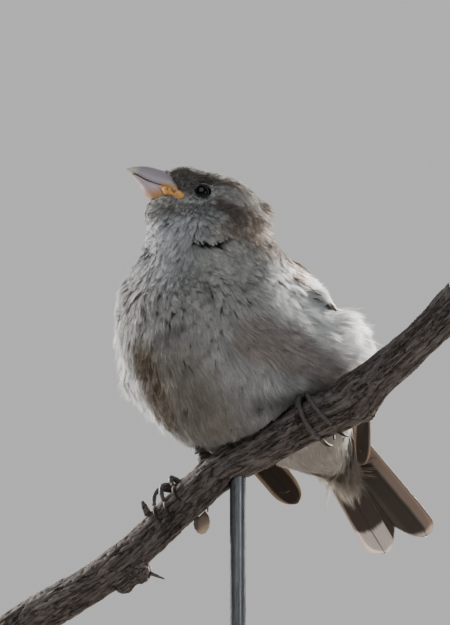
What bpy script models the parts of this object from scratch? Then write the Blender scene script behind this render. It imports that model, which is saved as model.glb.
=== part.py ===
"""A fledgling house sparrow, life size, looking up from a short cut length of branch.

The bird is a still museum model. The branch is its perch, and one rod on a flat round base
holds the perch. Lengths are in millimetres and become metres in mm() and Frame.at().

Axes: +Z up, the bird faces -Y and turns towards -X, and the branch rises towards +X.
Origin: the middle of the base's underside.
"""

import math

import bmesh
import bpy
from mathutils import Matrix, Vector

MM = 0.001
GAP = 0.3  # clearance between pieces that touch in life

# Headings: yaw from -Y towards -X, pitch above the horizon, roll lifting the left side.
BODY_TURN = (42.0, 42.0, 15.0)
HEAD_TURN = (86.0, 22.0, 2.0)
TAIL_TURN = (42.2, 41.0, 27.0)

TRUNK_CENTRE = (2.9, 9.2, 114.6)
HEAD_CENTRE = (-1.7, -5.8, 151.4)
TAIL_ROOT = (20.5, 31.8, 107.8)

# Fluffed trunk: distance ahead of its centre, half width, half depth, rise of its middle.
TRUNK_STATIONS = (
    (35, 9, 8, 3),
    (30, 18, 16, 2),
    (21, 24, 22.5, 0),
    (9, 26.5, 25.5, 0),
    (-5, 26.5, 25, 0),
    (-17, 22.5, 21, 2.5),
    (-28, 15, 12, 6.5),
    (-38, 10.5, 9, 8),
    (-46, 6, 4.5, 10.5),
    (-50, 2.5, 2, 11.5),
)
TRUNK_BALLS = (  # ahead, left, up, then the radii that way
    ((31, 5, 9), (12, 15, 13)),  # neck
    ((19, 4, 3), (15, 20, 18)),  # shoulders
    ((-7, 15.4, 1.2), (17, 17.4, 16.4)),  # fluffed left flank
    ((4, -14, -2), (16, 16, 14)),  # right side of the belly
)
HEAD_BALLS = (
    ((-0.4, 0, -1), (12.8, 9.2, 8.7)),  # skull
    ((8.3, 0, 0.8), (7.4, 6.6, 5.6)),  # brow and lores
    ((2, 0, -6), (11, 9.2, 7)),  # cheeks
    ((9, 0, -7.8), (7.9, 7.2, 6)),  # chin
    ((-4, 0, -9), (13, 10.5, 9)),  # nape
    ((4.8, 0, -15), (8, 9, 7)),  # throat
)
BODY_VOXEL = 1.2
BODY_SMOOTHING = 10
BODY_TRIANGLES = 2700

NECK_TOP = 9.0  # down from the head's centre to the cut under the head
NECK_LENGTH = 7.5

EYE_PLACE = (4.5, 5.6, -0.2)
EYE_RADIUS = 2.7

# Bill: distance ahead of the head's centre, half width, top, bottom.
UPPER_BILL = (
    (10.5, 4.4, 3.0, -1.9),
    (14.5, 3.9, 2.9, -1.7),
    (17.0, 3.2, 2.6, -1.75),
    (19.5, 2.4, 2.1, -1.5),
    (21.5, 1.6, 1.4, -1.05),
    (23.3, 0.8, 0.5, -0.85),
    (24.5, 0.25, -0.45, -0.85),
)
LOWER_BILL = (
    (10.5, 4.2, -2.2, -5.6),
    (14.5, 3.7, -2.0, -5.6),
    (17.5, 2.9, -2.05, -4.8),
    (19.5, 2.0, -1.8, -3.4),
    (21.5, 1.0, -1.35, -2.1),
    (22.6, 0.35, -1.15, -1.5),
)
GAPE_FRONT, GAPE_BACK = (15.0, 4.0, -1.9), (8.4, 6.7, -3.0)
GAPE_RADIUS = 1.6

WING_SHOULDER, WING_SIDE, WING_TIP = (18, 19, 11), (-10, 29, 22.5), (-46.5, 12, 1)
WING_TIP_SHIFT = {"left": (3.4, 0.4, 1), "right": (-3.6, -1, 2.2)}
WING_THICKNESS = 1.5
WING_HALF_WIDTHS = ((0, 5), (0.12, 9), (0.3, 11.5), (0.6, 9.3), (0.85, 5.6), (0.95, 4.8), (1, 3))
WING_TILT = (32, 52)  # from level, at the shoulder and at the tip

TAIL_LENGTH = 55.0
TAIL_THICKNESS = 1.3
TAIL_HALF_WIDTHS = ((0, 4), (0.3, 6.2), (0.6, 8.4), (0.85, 10), (1, 10.4))
TAIL_NOTCH = 7.0
TAIL_ARCH = 1.6

PERCH_ROUTE = (
    (-61.7, 38.0, 42.6), (-50.0, 32.1, 49.8), (-40.9, 27.4, 54.7), (-31.8, 22.7, 59.8),
    (-21.5, 17.1, 67.5), (-11.3, 11.2, 76.9), (-1.2, 5.5, 85.5), (8.7, 0.2, 90.5),
    (18.5, -5.0, 95.7), (28.3, -10.2, 99.9), (33.1, -12.9, 103.3), (37.9, -15.8, 107.4),
    (47.4, -21.4, 115.2), (57.7, -27.8, 125.1),
)
PERCH_RADII = (5.1, 5.3, 5.2, 5.0, 4.8, 4.7, 5.1, 4.9, 5.3, 5.9, 6.2, 5.0, 4.6, 5.1)
KNOTS = (  # place along by route point, degrees round from the near side, distance out, radius
    (3.4, 282, 5.0, 3.0),
    (3.75, 285, 5.2, 3.2),
    (9.7, 275, 3.6, 3.6),
    (9.5, 320, 5.0, 1.9),
    (5.9, 100, 5.4, 2.0),
)
FLAKE_SPOT, FLAKE_RADII = (5.1, 262, 6.3), (2.2, 0.7, 3.2)

# Toes run round the perch: route point and degrees at the root and at the tip, claw's drift along.
TOES = {
    "left": {
        "inner": (8.34, 86, 8.26, 40, -0.04),
        "middle": (8.28, 84, 8.42, -50, 0.06),
        "outer": (8.42, 86, 8.85, -28, 0.1),
        "hind": (8.36, 104, 8.42, 190, 0.0),
    },
    "right": {
        "inner": (5.24, 116, 5.24, 66, 0.0),
        "middle": (5.12, 114, 4.97, 46, -0.04),
        "outer": (5.04, 118, 4.76, 62, -0.04),
        "hind": (5.20, 130, 5.26, 182, 0.0),
    },
}
TOE_RADII = (0.88, 0.64)
CLAW_RADII = (0.62, 0.5, 0.34, 0.15)
TOE_ARCH = {"left": 0.4, "right": 1.5}
CLAW_REACH = {"left": 34, "right": 52}
CLAW_LIFT = {"left": 1.4, "right": 0.5}
ANKLES = {"left": (23.0, -1.0, 106.0), "right": (-3.0, 17.0, 89.0)}
SHANK_RADIUS = 1.05

STAND_RADIUS, STAND_THICKNESS = 48.0, 9.0
ROD_PLACE, ROD_RADIUS, ROD_FOOT, ROD_TOP = (3.2, 2.9), 2.0, 5.0, 87.0

FINISHES = {  # colour, roughness, metallic
    "plumage": ((0.42, 0.38, 0.34), 0.9, 0.0),
    "wing_feather": ((0.16, 0.11, 0.075), 0.75, 0.0),
    "tail_feather": ((0.20, 0.14, 0.10), 0.75, 0.0),
    "bill_horn": ((0.50, 0.36, 0.29), 0.4, 0.0),
    "gape_skin": ((0.75, 0.42, 0.10), 0.5, 0.0),
    "eye": ((0.012, 0.009, 0.008), 0.08, 0.0),
    "leg_scale": ((0.17, 0.13, 0.11), 0.55, 0.0),
    "claw_horn": ((0.10, 0.08, 0.07), 0.35, 0.0),
    "bark": ((0.085, 0.068, 0.060), 0.95, 0.0),
    "bud_scale": ((0.30, 0.24, 0.18), 0.8, 0.0),
    "stand_metal": ((0.055, 0.055, 0.058), 0.4, 1.0),
    "stand_wood": ((0.05, 0.045, 0.04), 0.45, 0.0),
}
FINISH_BY_NAME = (  # what an object's name starts with, then its finish
    ("head", "plumage"),
    ("neck", "plumage"),
    ("trunk", "plumage"),
    ("wing", "wing_feather"),
    ("tail", "tail_feather"),
    ("bill", "bill_horn"),
    ("gape", "gape_skin"),
    ("eye", "eye"),
    ("leg", "leg_scale"),
    ("claw", "claw_horn"),
    ("perch", "bark"),
    ("bud_scale", "bud_scale"),
    ("stand_rod", "stand_metal"),
    ("stand_base", "stand_wood"),
)
SIDES = {"left": 1, "right": -1}


def mm(x, y, z):
    """A point given in millimetres."""
    return Vector((x, y, z)) * MM


class Frame:
    """A place and a heading, with points given in mm ahead, to the left and up from it."""

    def __init__(self, origin, turn):
        yaw, pitch, roll = (math.radians(angle) for angle in turn)
        level = Vector((-math.sin(yaw), -math.cos(yaw), 0))
        ahead = level * math.cos(pitch) + Vector((0, 0, math.sin(pitch)))
        left = Vector((math.cos(yaw), -math.sin(yaw), 0))
        up = ahead.cross(left)
        self.origin = mm(*origin)
        self.ahead = ahead
        self.left = left * math.cos(roll) + up * math.sin(roll)
        self.up = up * math.cos(roll) - left * math.sin(roll)

    def at(self, ahead, left, up):
        return self.origin + (self.ahead * ahead + self.left * left + self.up * up) * MM

    def matrix(self, place):
        """The transform that puts a shape at this place, turned to this heading."""
        turn = Matrix((self.ahead, self.left, self.up)).transposed().to_4x4()
        return Matrix.Translation(self.at(*place)) @ turn


BODY = Frame(TRUNK_CENTRE, BODY_TURN)
HEAD = Frame(HEAD_CENTRE, HEAD_TURN)
TAIL = Frame(TAIL_ROOT, TAIL_TURN)


# ---------------------------------------------------------------- numbers


def mix(a, b, t):
    return a + (b - a) * t


def read_table(table, x):
    """Straight-line reading of a table of (x, value) rows, x rising."""
    for (x0, y0), (x1, y1) in zip(table, table[1:]):
        if x <= x1:
            return mix(y0, y1, max(0.0, (x - x0) / (x1 - x0)))
    return table[-1][1]


def bend(start, control, end, t):
    """A point on a curve from start to end, drawn towards control."""
    return [
        (1 - t) ** 2 * a + 2 * t * (1 - t) * b + t**2 * c for a, b, c in zip(start, control, end)
    ]


def catmull_rom(points, place):
    """A point on the smooth curve through points, place counted in points from the first."""
    i = min(int(place), len(points) - 2)
    t = place - i
    b, c = Vector(points[i]), Vector(points[i + 1])
    a = Vector(points[i - 1]) if i else b * 2 - c
    d = Vector(points[i + 2]) if i + 2 < len(points) else c * 2 - b
    curve = b * 2 + (c - a) * t
    curve += (a * 2 - b * 5 + c * 4 - d) * t**2
    curve += (b * 3 - a - c * 3 + d) * t**3
    return curve / 2


# ---------------------------------------------------------------- shapes


def add_object(name, bm):
    """Makes an object of a bmesh, its faces pointing out."""
    bmesh.ops.recalc_face_normals(bm, faces=bm.faces)
    mesh = bpy.data.meshes.new(name)
    bm.to_mesh(mesh)
    bm.free()
    made = bpy.data.objects.new(name, mesh)
    bpy.context.scene.collection.objects.link(made)
    return made


def add_ball(bm, frame, place, radii, segments=32):
    """An ellipsoid with its radii ahead, to the left and up."""
    matrix = frame.matrix(place) @ Matrix.Diagonal((*(r * MM for r in radii), 1))
    bmesh.ops.create_uvsphere(
        bm, u_segments=segments, v_segments=segments // 2, radius=1, matrix=matrix
    )


def add_loft(bm, rings):
    """A closed skin over rings of points, with its ends capped."""
    rings = [[bm.verts.new(point) for point in ring] for ring in rings]
    loops = [[bm.edges.new(pair) for pair in zip(ring, ring[1:] + ring[:1])] for ring in rings]
    for one, two in zip(loops, loops[1:]):
        bmesh.ops.bridge_loops(bm, edges=one + two)
    bm.faces.new(rings[0])
    bm.faces.new(rings[-1])


def ellipse(centre, across, up, half_width, half_height, sides):
    """Points round a centre, sizes in mm."""
    turns = (math.tau * i / sides for i in range(sides))
    return [
        centre + (across * math.cos(a) * half_width + up * math.sin(a) * half_height) * MM
        for a in turns
    ]


def add_tube(bm, points, radii, sides):
    """A tube through points, its radius given at each, with no twist along it."""
    rings = []
    side = (points[1] - points[0]).orthogonal()
    for i, (point, radius) in enumerate(zip(points, radii)):
        before, after = points[max(i - 1, 0)], points[min(i + 1, len(points) - 1)]
        along = (after - before).normalized()
        side = (side - along * side.dot(along)).normalized()
        rings.append(ellipse(point, side, along.cross(side), radius, radius, sides))
    add_loft(bm, rings)


def add_sheet(bm, place, along, across):
    """A grid of faces whose points come from place(t, s), t from 0 to 1 and s from -1 to 1."""
    made = bmesh.ops.create_grid(bm, x_segments=along, y_segments=across, size=1)
    for vert in made["verts"]:
        vert.co = place((vert.co.x + 1) / 2, vert.co.y)


def evaluated(made):
    """Replaces an object's mesh by what its modifiers make of it."""
    graph = bpy.context.evaluated_depsgraph_get()
    mesh = bpy.data.meshes.new_from_object(made.evaluated_get(graph))
    made.modifiers.clear()
    made.data = mesh
    return made


def blend(made, voxel, smoothing, triangles):
    """Melts overlapping shapes into one skin with soft joins and few faces."""
    remesh = made.modifiers.new("melt", "REMESH")
    remesh.mode = "VOXEL"
    remesh.voxel_size = voxel * MM
    smooth = made.modifiers.new("soften", "SMOOTH")
    smooth.factor, smooth.iterations = 0.5, smoothing
    evaluated(made)
    made.data.calc_loop_triangles()
    thin = made.modifiers.new("thin", "DECIMATE")
    thin.ratio = min(1.0, triangles / len(made.data.loop_triangles))
    thin.use_collapse_triangulate = True
    return evaluated(made)


def thicken(made, thickness):
    """Gives a sheet an even thickness, half to each side."""
    solid = made.modifiers.new("thickness", "SOLIDIFY")
    solid.thickness, solid.offset = thickness * MM, 0
    return evaluated(made)


def grown(source, by=GAP):
    """A hidden copy with its skin moved out, to cut clearance with."""
    bm = bmesh.new()
    bm.from_mesh(source.data)
    bm.normal_update()
    for vert, normal in [(v, v.normal.copy()) for v in bm.verts]:
        vert.co += normal * by * MM
    cutter = add_object("clear_of_" + source.name, bm)
    cutter.hide_render = True
    cutter.display_type = "WIRE"
    return cutter


def largest_body(made):
    """Drops what a cut leaves beside the main body: doubled slivers and loose crumbs."""
    bm = bmesh.new()
    bm.from_mesh(made.data)
    bmesh.ops.triangulate(bm, faces=bm.faces)
    bmesh.ops.remove_doubles(bm, verts=bm.verts, dist=0.002 * MM)
    twins = {}
    for face in bm.faces:
        twins.setdefault(frozenset(face.verts), []).append(face)
    doubled = [face for faces in twins.values() if len(faces) > 1 for face in faces]
    bmesh.ops.delete(bm, geom=doubled, context="FACES")
    left_over, bodies = set(bm.verts), []
    while left_over:
        body, edge = set(), {left_over.pop()}
        while edge:
            body |= edge
            edge = {e.other_vert(v) for v in edge for e in v.link_edges} - body
        left_over -= body
        bodies.append(body)
    main = max(bodies, key=len)
    bmesh.ops.delete(bm, geom=[v for v in bm.verts if v not in main], context="VERTS")
    bm.to_mesh(made.data)
    bm.free()


def carve(made, *cutters):
    """Takes the cutters' space out of an object."""
    for cutter in cutters:
        cut = made.modifiers.new(cutter.name, "BOOLEAN")
        cut.operation, cut.solver, cut.object = "DIFFERENCE", "EXACT", cutter
    evaluated(made)
    largest_body(made)
    return made


def between(source, name, *planes):
    """The part of a closed mesh behind each plane (point, normal), half a gap clear of it."""
    bm = bmesh.new()
    bm.from_mesh(source.data)
    for point, normal in planes:
        bmesh.ops.bisect_plane(
            bm,
            geom=bm.verts[:] + bm.edges[:] + bm.faces[:],
            plane_co=point - normal * GAP / 2 * MM,
            plane_no=normal,
            clear_outer=True,
        )
        bmesh.ops.holes_fill(bm, edges=[e for e in bm.edges if e.is_boundary], sides=0)
    return add_object(name, bm)


# ---------------------------------------------------------------- perch and stand


def perch_at(place):
    return catmull_rom(PERCH_ROUTE, place) * MM


def perch_radius(place):
    return read_table(list(enumerate(PERCH_RADII)), place)


def round_perch(place, angle, out):
    """A point round the perch: 0 degrees is the near side, 90 on top; out in mm from its line."""
    along = (perch_at(place + 0.1) - perch_at(place - 0.1)).normalized()
    near = (Vector((0, -1, 0)) + along * along.y).normalized()
    top = near.cross(along)
    turn = math.radians(angle)
    return perch_at(place) + (near * math.cos(turn) + top * math.sin(turn)) * out * MM


def add_point_ball(bm, point, radii, segments):
    matrix = Matrix.Translation(point) @ Matrix.Diagonal((*(r * MM for r in radii), 1))
    bmesh.ops.create_uvsphere(
        bm, u_segments=segments, v_segments=segments // 2, radius=1, matrix=matrix
    )


def build_perch():
    bm = bmesh.new()
    places = [i / 3 for i in range((len(PERCH_ROUTE) - 1) * 3 + 1)]
    add_tube(bm, [perch_at(p) for p in places], [perch_radius(p) for p in places], sides=20)
    for place, angle, out, radius in KNOTS:
        add_point_ball(bm, round_perch(place, angle, out), (radius,) * 3, 16)
    return blend(add_object("perch", bm), 0.7, 3, 1000)


def build_flake(perch):
    """The pale bud scale that hangs under the branch."""
    bm = bmesh.new()
    add_point_ball(bm, round_perch(*FLAKE_SPOT), FLAKE_RADII, 12)
    return carve(add_object("bud_scale", bm), grown(perch))


def add_column(bm, radius, bottom, top, place, segments):
    bmesh.ops.create_cone(
        bm,
        cap_ends=True,
        segments=segments,
        radius1=radius * MM,
        radius2=radius * MM,
        depth=(top - bottom) * MM,
        matrix=Matrix.Translation(mm(*place, (top + bottom) / 2)),
    )


def build_stand(perch):
    """A round base with one rod, which sits in a blind hole in the base and in the perch."""
    bm = bmesh.new()
    add_column(bm, STAND_RADIUS, 0, STAND_THICKNESS, (0, 0), 56)
    rim = [e for e in bm.edges if all(v.co.z > STAND_THICKNESS * MM / 2 for v in e.verts)]
    bmesh.ops.bevel(bm, geom=rim, offset=1.5 * MM, segments=1, affect="EDGES")
    base = add_object("stand_base", bm)
    bm = bmesh.new()
    add_column(bm, ROD_RADIUS, ROD_FOOT, ROD_TOP, ROD_PLACE, 24)
    rod = add_object("stand_rod", bm)
    bm = bmesh.new()
    add_column(bm, ROD_RADIUS + GAP, ROD_FOOT - GAP, ROD_TOP + GAP, ROD_PLACE, 24)
    hole = add_object("rod_holes", bm)
    hole.hide_render = True
    hole.display_type = "WIRE"
    carve(base, hole)
    carve(perch, hole)
    return base, rod


# ---------------------------------------------------------------- body


def build_flesh():
    """Head, neck and trunk in one skin, out to the tips of the fluffed feathers."""
    bm = bmesh.new()
    rings = [
        ellipse(BODY.at(ahead, 0, rise), BODY.left, BODY.up, wide, deep, 32)
        for ahead, wide, deep, rise in TRUNK_STATIONS
    ]
    add_loft(bm, rings)
    for place, radii in TRUNK_BALLS:
        add_ball(bm, BODY, place, radii)
    for place, radii in HEAD_BALLS:
        add_ball(bm, HEAD, place, radii)
    return blend(add_object("flesh", bm), BODY_VOXEL, BODY_SMOOTHING, BODY_TRIANGLES)


def part_flesh(flesh):
    """Parts the flesh into head, neck and trunk with two flat cuts across the neck."""
    rise = (HEAD.origin - BODY.origin).normalized()
    top = HEAD.origin - rise * NECK_TOP * MM
    foot = top - rise * NECK_LENGTH * MM
    head = between(flesh, "head", (top, -rise))
    neck = between(flesh, "neck", (top, rise), (foot, -rise))
    trunk = between(flesh, "trunk", (foot, rise))
    bpy.data.objects.remove(flesh)
    return head, neck, trunk


def build_eyes(head):
    eyes = []
    for side, sign in SIDES.items():
        ahead, out, up = EYE_PLACE
        bm = bmesh.new()
        add_ball(bm, HEAD, (ahead, out * sign, up), (EYE_RADIUS,) * 3, 14)
        eyes.append(add_object("eye_" + side, bm))
    carve(head, *(grown(eye) for eye in eyes))
    return eyes


def build_bill(head_clear):
    """The two mandibles, cut to the face behind."""
    bills = []
    for name, stations in (("bill_upper", UPPER_BILL), ("bill_lower", LOWER_BILL)):
        bm = bmesh.new()
        rings = []
        for ahead, half_width, top, bottom in stations:
            flat = bottom if name == "bill_upper" else top
            peak = top if name == "bill_upper" else bottom
            ring = []
            for i in range(11):
                turn = math.pi * i / 10
                rise = flat + (peak - flat) * math.sin(turn) ** 0.8
                ring.append(HEAD.at(ahead, half_width * math.cos(turn), rise))
            rings.append(ring)
        add_loft(bm, rings)
        bills.append(carve(add_object(name, bm), head_clear))
    return bills


def build_gapes(head_clear, bills):
    """The swollen yellow corner of the mouth on each side."""
    made = []
    cutters = [head_clear] + [grown(bill) for bill in bills]
    for side, sign in SIDES.items():
        points = []
        for i in range(7):
            ahead, out, up = (mix(a, b, i / 6) for a, b in zip(GAPE_FRONT, GAPE_BACK))
            points.append(HEAD.at(ahead, out * sign, up - 0.4 * math.sin(math.pi * i / 6)))
        radii = [GAPE_RADIUS * (0.7 + 0.3 * math.sin(math.pi * i / 6)) for i in range(7)]
        bm = bmesh.new()
        add_tube(bm, points, radii, 10)
        made.append(carve(add_object("gape_" + side, bm), *cutters))
    return made


def wing_point(side, t, s):
    """A point of the folded wing's sheet: t from shoulder to tip, s from belly edge to back."""
    sign = SIDES[side]
    shift = [v * t**2 for v in WING_TIP_SHIFT[side]]
    ahead, out, up = (v + d for v, d in zip(bend(WING_SHOULDER, WING_SIDE, WING_TIP, t), shift))
    tilt = math.radians(mix(*WING_TILT, t))
    reach = read_table(WING_HALF_WIDTHS, t) * s
    sag = 1.6 * (1 - t) * s * s  # hugs the round body
    out -= reach * math.sin(tilt) + sag * math.cos(tilt)
    up += reach * math.cos(tilt) - sag * math.sin(tilt)
    return BODY.at(ahead, out * sign, up)


def build_wings(cutters):
    wings = []
    for side in SIDES:
        bm = bmesh.new()
        add_sheet(bm, lambda t, s, side=side: wing_point(side, t, s), 13, 5)
        wing = thicken(add_object("wing_" + side, bm), WING_THICKNESS)
        wings.append(carve(wing, *cutters))
    return wings


def tail_point(t, s):
    """A point of the folded tail's sheet: t from root to tip, s from right edge to left."""
    half_width = read_table(TAIL_HALF_WIDTHS, t)
    lobes = TAIL_NOTCH * (1 - math.cos(math.pi * min(1, abs(s) / 0.7))) / 2
    rounding = 5.0 * max(0, (abs(s) - 0.7) / 0.3) ** 2
    reach = (TAIL_LENGTH - TAIL_NOTCH + lobes - rounding) * t
    return TAIL.at(-reach, half_width * s, -TAIL_ARCH * s * s)


def build_tail(cutters):
    bm = bmesh.new()
    add_sheet(bm, tail_point, 9, 10)
    tail = thicken(add_object("tail", bm), TAIL_THICKNESS)
    return carve(tail, *cutters)


def toe_points(side, toe, steps=7):
    """The toe's line round the perch, from its root on top to the root of its claw."""
    place, angle, end_place, end_angle, _ = TOES[side][toe]
    points = []
    for i in range(steps):
        t = i / (steps - 1)
        spot = mix(place, end_place, t)
        out = perch_radius(spot) + TOE_RADII[0] + TOE_ARCH[side] * math.sin(math.pi * t)
        points.append(round_perch(spot, mix(angle, end_angle, t), out))
    return points


def claw_points(side, toe, steps=4):
    """The claw's line, going on round the perch from the toe's tip."""
    _, angle, end_place, end_angle, drift = TOES[side][toe]
    sign = 1 if end_angle > angle else -1
    points = []
    for i in range(steps):
        t = i / (steps - 1)
        out = perch_radius(end_place) + TOE_RADII[1] + 0.6 * math.sin(math.pi * t)
        out += CLAW_LIFT[side] * t**1.5
        turn = end_angle + sign * (9 + CLAW_REACH[side] * t)
        points.append(round_perch(end_place + drift * t, turn, out))
    return points


def build_legs(flesh_clear, perch_clear):
    """Each shank and its four toes in one skin, and a claw at the end of each toe."""
    for side in SIDES:
        pad = sum((toe_points(side, toe)[0] for toe in TOES[side]), Vector()) / 4
        heel = mm(*ANKLES[side])
        bm = bmesh.new()
        shank = [pad.lerp(heel, i / 4) for i in range(5)]
        add_tube(bm, shank, [SHANK_RADIUS * 1.1, *([SHANK_RADIUS * 0.9] * 3), SHANK_RADIUS], 12)
        claws = []
        for toe in TOES[side]:
            points = toe_points(side, toe)
            count = len(points) - 1
            radii = [mix(*TOE_RADII, i / count) for i in range(count + 1)]
            add_tube(bm, [pad, *points], [TOE_RADII[0], *radii], 10)
            claw = bmesh.new()
            add_tube(claw, claw_points(side, toe), CLAW_RADII, 6)
            claws.append(add_object("claw_" + side + "_" + toe, claw))
        leg = blend(add_object("leg_" + side, bm), 0.4, 2, 560)
        carve(leg, perch_clear, *flesh_clear)
        leg_clear = grown(leg)
        for claw in claws:
            carve(claw, perch_clear, leg_clear)


# ---------------------------------------------------------------- colour


def finish_of(name):
    """The finish that an object's name calls for, by its first match."""
    return next(finish for start, finish in FINISH_BY_NAME if name.startswith(start))


def paint(made):
    """Gives an object a material of its own and smooth shading."""
    colour, roughness, metallic = FINISHES[finish_of(made.name)]
    material = bpy.data.materials.new(made.name)
    material.use_nodes = True
    shader = material.node_tree.nodes["Principled BSDF"]
    shader.inputs["Base Color"].default_value = (*colour, 1)
    shader.inputs["Roughness"].default_value = roughness
    shader.inputs["Metallic"].default_value = metallic
    made.data.materials.clear()
    made.data.materials.append(material)
    made.data.shade_smooth()
    made.data.set_sharp_from_angle(angle=math.radians(40))


def main():
    for old in list(bpy.data.objects):
        bpy.data.objects.remove(old)
    perch = build_perch()
    build_flake(perch)
    head, neck, trunk = part_flesh(build_flesh())
    perch_clear = grown(perch)
    carve(trunk, perch_clear)
    flesh_clear = [grown(piece) for piece in (head, neck, trunk)]
    bills = build_bill(flesh_clear[0])
    build_gapes(flesh_clear[0], bills)
    build_eyes(head)
    tail = build_tail(flesh_clear[2:])
    build_wings([*flesh_clear, grown(tail), perch_clear])
    build_legs(flesh_clear, perch_clear)
    build_stand(perch)
    for made in bpy.data.objects:
        if not made.hide_render:
            paint(made)


main()
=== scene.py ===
"""A fledgling house sparrow as a still museum model, fluffed up on its cut branch and stand.

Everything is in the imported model's frame: metres, +Z up, the bird facing -Y and turned
towards -X. Sizes in the tables below are millimetres. The skin replaces the solids of head,
neck and trunk and lies inside them by the coat's depth; the coat's feathers fill that depth.
"""

import logging
import math
from dataclasses import dataclass, field
from enum import Enum

import bmesh
import bpy
import numpy as np
from mathutils import Matrix, Vector, noise
from mathutils.bvhtree import BVHTree


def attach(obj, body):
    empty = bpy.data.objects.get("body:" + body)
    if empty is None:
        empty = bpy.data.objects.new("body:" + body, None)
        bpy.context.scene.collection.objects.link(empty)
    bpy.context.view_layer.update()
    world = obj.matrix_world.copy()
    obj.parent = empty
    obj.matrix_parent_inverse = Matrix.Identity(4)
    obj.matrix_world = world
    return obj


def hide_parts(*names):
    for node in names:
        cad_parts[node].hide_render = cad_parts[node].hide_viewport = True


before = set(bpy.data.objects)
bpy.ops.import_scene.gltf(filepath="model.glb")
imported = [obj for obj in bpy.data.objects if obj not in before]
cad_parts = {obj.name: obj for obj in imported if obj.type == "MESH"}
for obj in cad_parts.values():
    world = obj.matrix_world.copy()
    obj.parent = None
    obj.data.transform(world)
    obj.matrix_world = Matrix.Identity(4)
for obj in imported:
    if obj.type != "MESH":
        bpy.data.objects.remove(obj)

LOG = logging.getLogger("sparrow")
MM = 0.001
GOLDEN_SHARE = 0.381966
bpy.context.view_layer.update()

Array = np.ndarray
BMesh = bmesh.types.BMesh
Generator = np.random.Generator
Material = bpy.types.Material
Mesh = bpy.types.Mesh
Node = bpy.types.Node
Object = bpy.types.Object
Socket = bpy.types.NodeSocket
Pair = tuple[float, float]
Triple = tuple[float, float, float]


class Side(Enum):
    """The bird's own sides."""

    LEFT = 1
    RIGHT = -1

    @property
    def word(self) -> str:
        """The side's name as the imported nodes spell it."""
        return self.name.lower()


class Tract(Enum):
    """The feather tracts, each made as one or more coat pieces."""

    FACE = 0
    CROWN = 1
    THROAT = 2
    BREAST = 3
    BELLY = 4
    FLANK_LEFT = 5
    FLANK_RIGHT = 6
    MANTLE = 7
    RUMP = 8


# ---------------------------------------------------------------- numbers


def srgb(red: float, green: float, blue: float) -> Triple:
    """Turns a screen colour, 0 to 255, into a linear one.

    Args:
        red: Red, 0 to 255.
        green: Green, 0 to 255.
        blue: Blue, 0 to 255.

    Returns:
        The linear colour.
    """
    return tuple(
        v / 12.92 if v <= 0.04045 else ((v + 0.055) / 1.055) ** 2.4
        for v in (red / 255, green / 255, blue / 255)
    )


def mix(low: float, high: float, t: float) -> float:
    """The value t of the way from low to high."""
    return low + (high - low) * t


def step(x: Array, start: float, end: float) -> Array:
    """A soft step from 0 at start to 1 at end; start may be the larger of the two.

    Args:
        x: Values to read.
        start: Where the step is 0.
        end: Where it is 1.

    Returns:
        The step's height at each value.
    """
    t = np.clip((np.asarray(x, float) - start) / (end - start), 0, 1)
    return t * t * (3 - 2 * t)


def spot(a: Array, u: Array, at: Pair, size: Pair) -> Array:
    """A soft elliptical spot, 1 in its middle and 0 outside.

    Args:
        a: First coordinate of each point.
        u: Second coordinate of each point.
        at: The spot's middle.
        size: Its radii.

    Returns:
        The spot's strength at each point.
    """
    far = np.hypot((a - at[0]) / size[0], (u - at[1]) / size[1])
    return step(far, 1.0, 0.35)


def band(a: Array, u: Array, line: tuple[Pair, ...], width: float) -> Array:
    """A soft band along a broken line.

    Args:
        a: First coordinate of each point.
        u: Second coordinate of each point.
        line: The line's points.
        width: Half the band's width.

    Returns:
        The band's strength at each point.
    """
    far = np.full(np.shape(a), 1e9)
    for (a0, u0), (a1, u1) in zip(line, line[1:]):
        da, du = a1 - a0, u1 - u0
        t = np.clip(((a - a0) * da + (u - u0) * du) / (da * da + du * du), 0, 1)
        far = np.minimum(far, np.hypot(a - a0 - t * da, u - u0 - t * du))
    return step(far, width, width * 0.35)


def unit(vectors: Array) -> Array:
    """Vectors scaled to length 1."""
    return vectors / np.maximum(np.linalg.norm(vectors, axis=-1, keepdims=True), 1e-12)


def plain(colour: Triple, count: int) -> Array:
    """One screen colour, made linear, in count rows."""
    return np.tile(srgb(*colour), (count, 1))


def wave(points: Array, scale: float, shift: Triple = (0, 0, 0)) -> Array:
    """Smooth random heights, about -1 to 1.

    Args:
        points: Where to read them.
        scale: How quickly they change from place to place.
        shift: Sets one use apart from another.

    Returns:
        A height for each point.
    """
    away = Vector(shift)
    return np.array([noise.noise(Vector(p) * scale + away) for p in points.tolist()])


def nearest(points: Array, start: Array, end: Array) -> tuple[Array, Array]:
    """How points lie to a straight line.

    Args:
        points: The points.
        start: The line's first end.
        end: Its other end.

    Returns:
        How far along the line each point lies, 0 to 1, and the way from the line to it.
    """
    run = end - start
    share = np.clip((points - start) @ run / (run @ run), 0, 1)
    return share, points - start - share[:, None] * run


def read_table(table: tuple[Pair, ...], x: float) -> float:
    """Straight-line reading of a table of (x, value) rows, x rising."""
    return float(np.interp(x, [row[0] for row in table], [row[1] for row in table]))


def catmull_rom(points: tuple[tuple[float, ...], ...], place: float) -> Array:
    """A point on the smooth curve through points.

    Args:
        points: The curve's points.
        place: Place along it, counted in points from the first.

    Returns:
        The point there.
    """
    rows = np.asarray(points, float)
    i = min(max(int(place), 0), len(rows) - 2)
    t = place - i
    b, c = rows[i], rows[i + 1]
    a = rows[i - 1] if i else 2 * b - c
    d = rows[i + 2] if i + 2 < len(rows) else 2 * c - b
    curve = 2 * b + (c - a) * t + (2 * a - 5 * b + 4 * c - d) * t**2
    return (curve + (3 * b - a - 3 * c + d) * t**3) / 2


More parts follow.
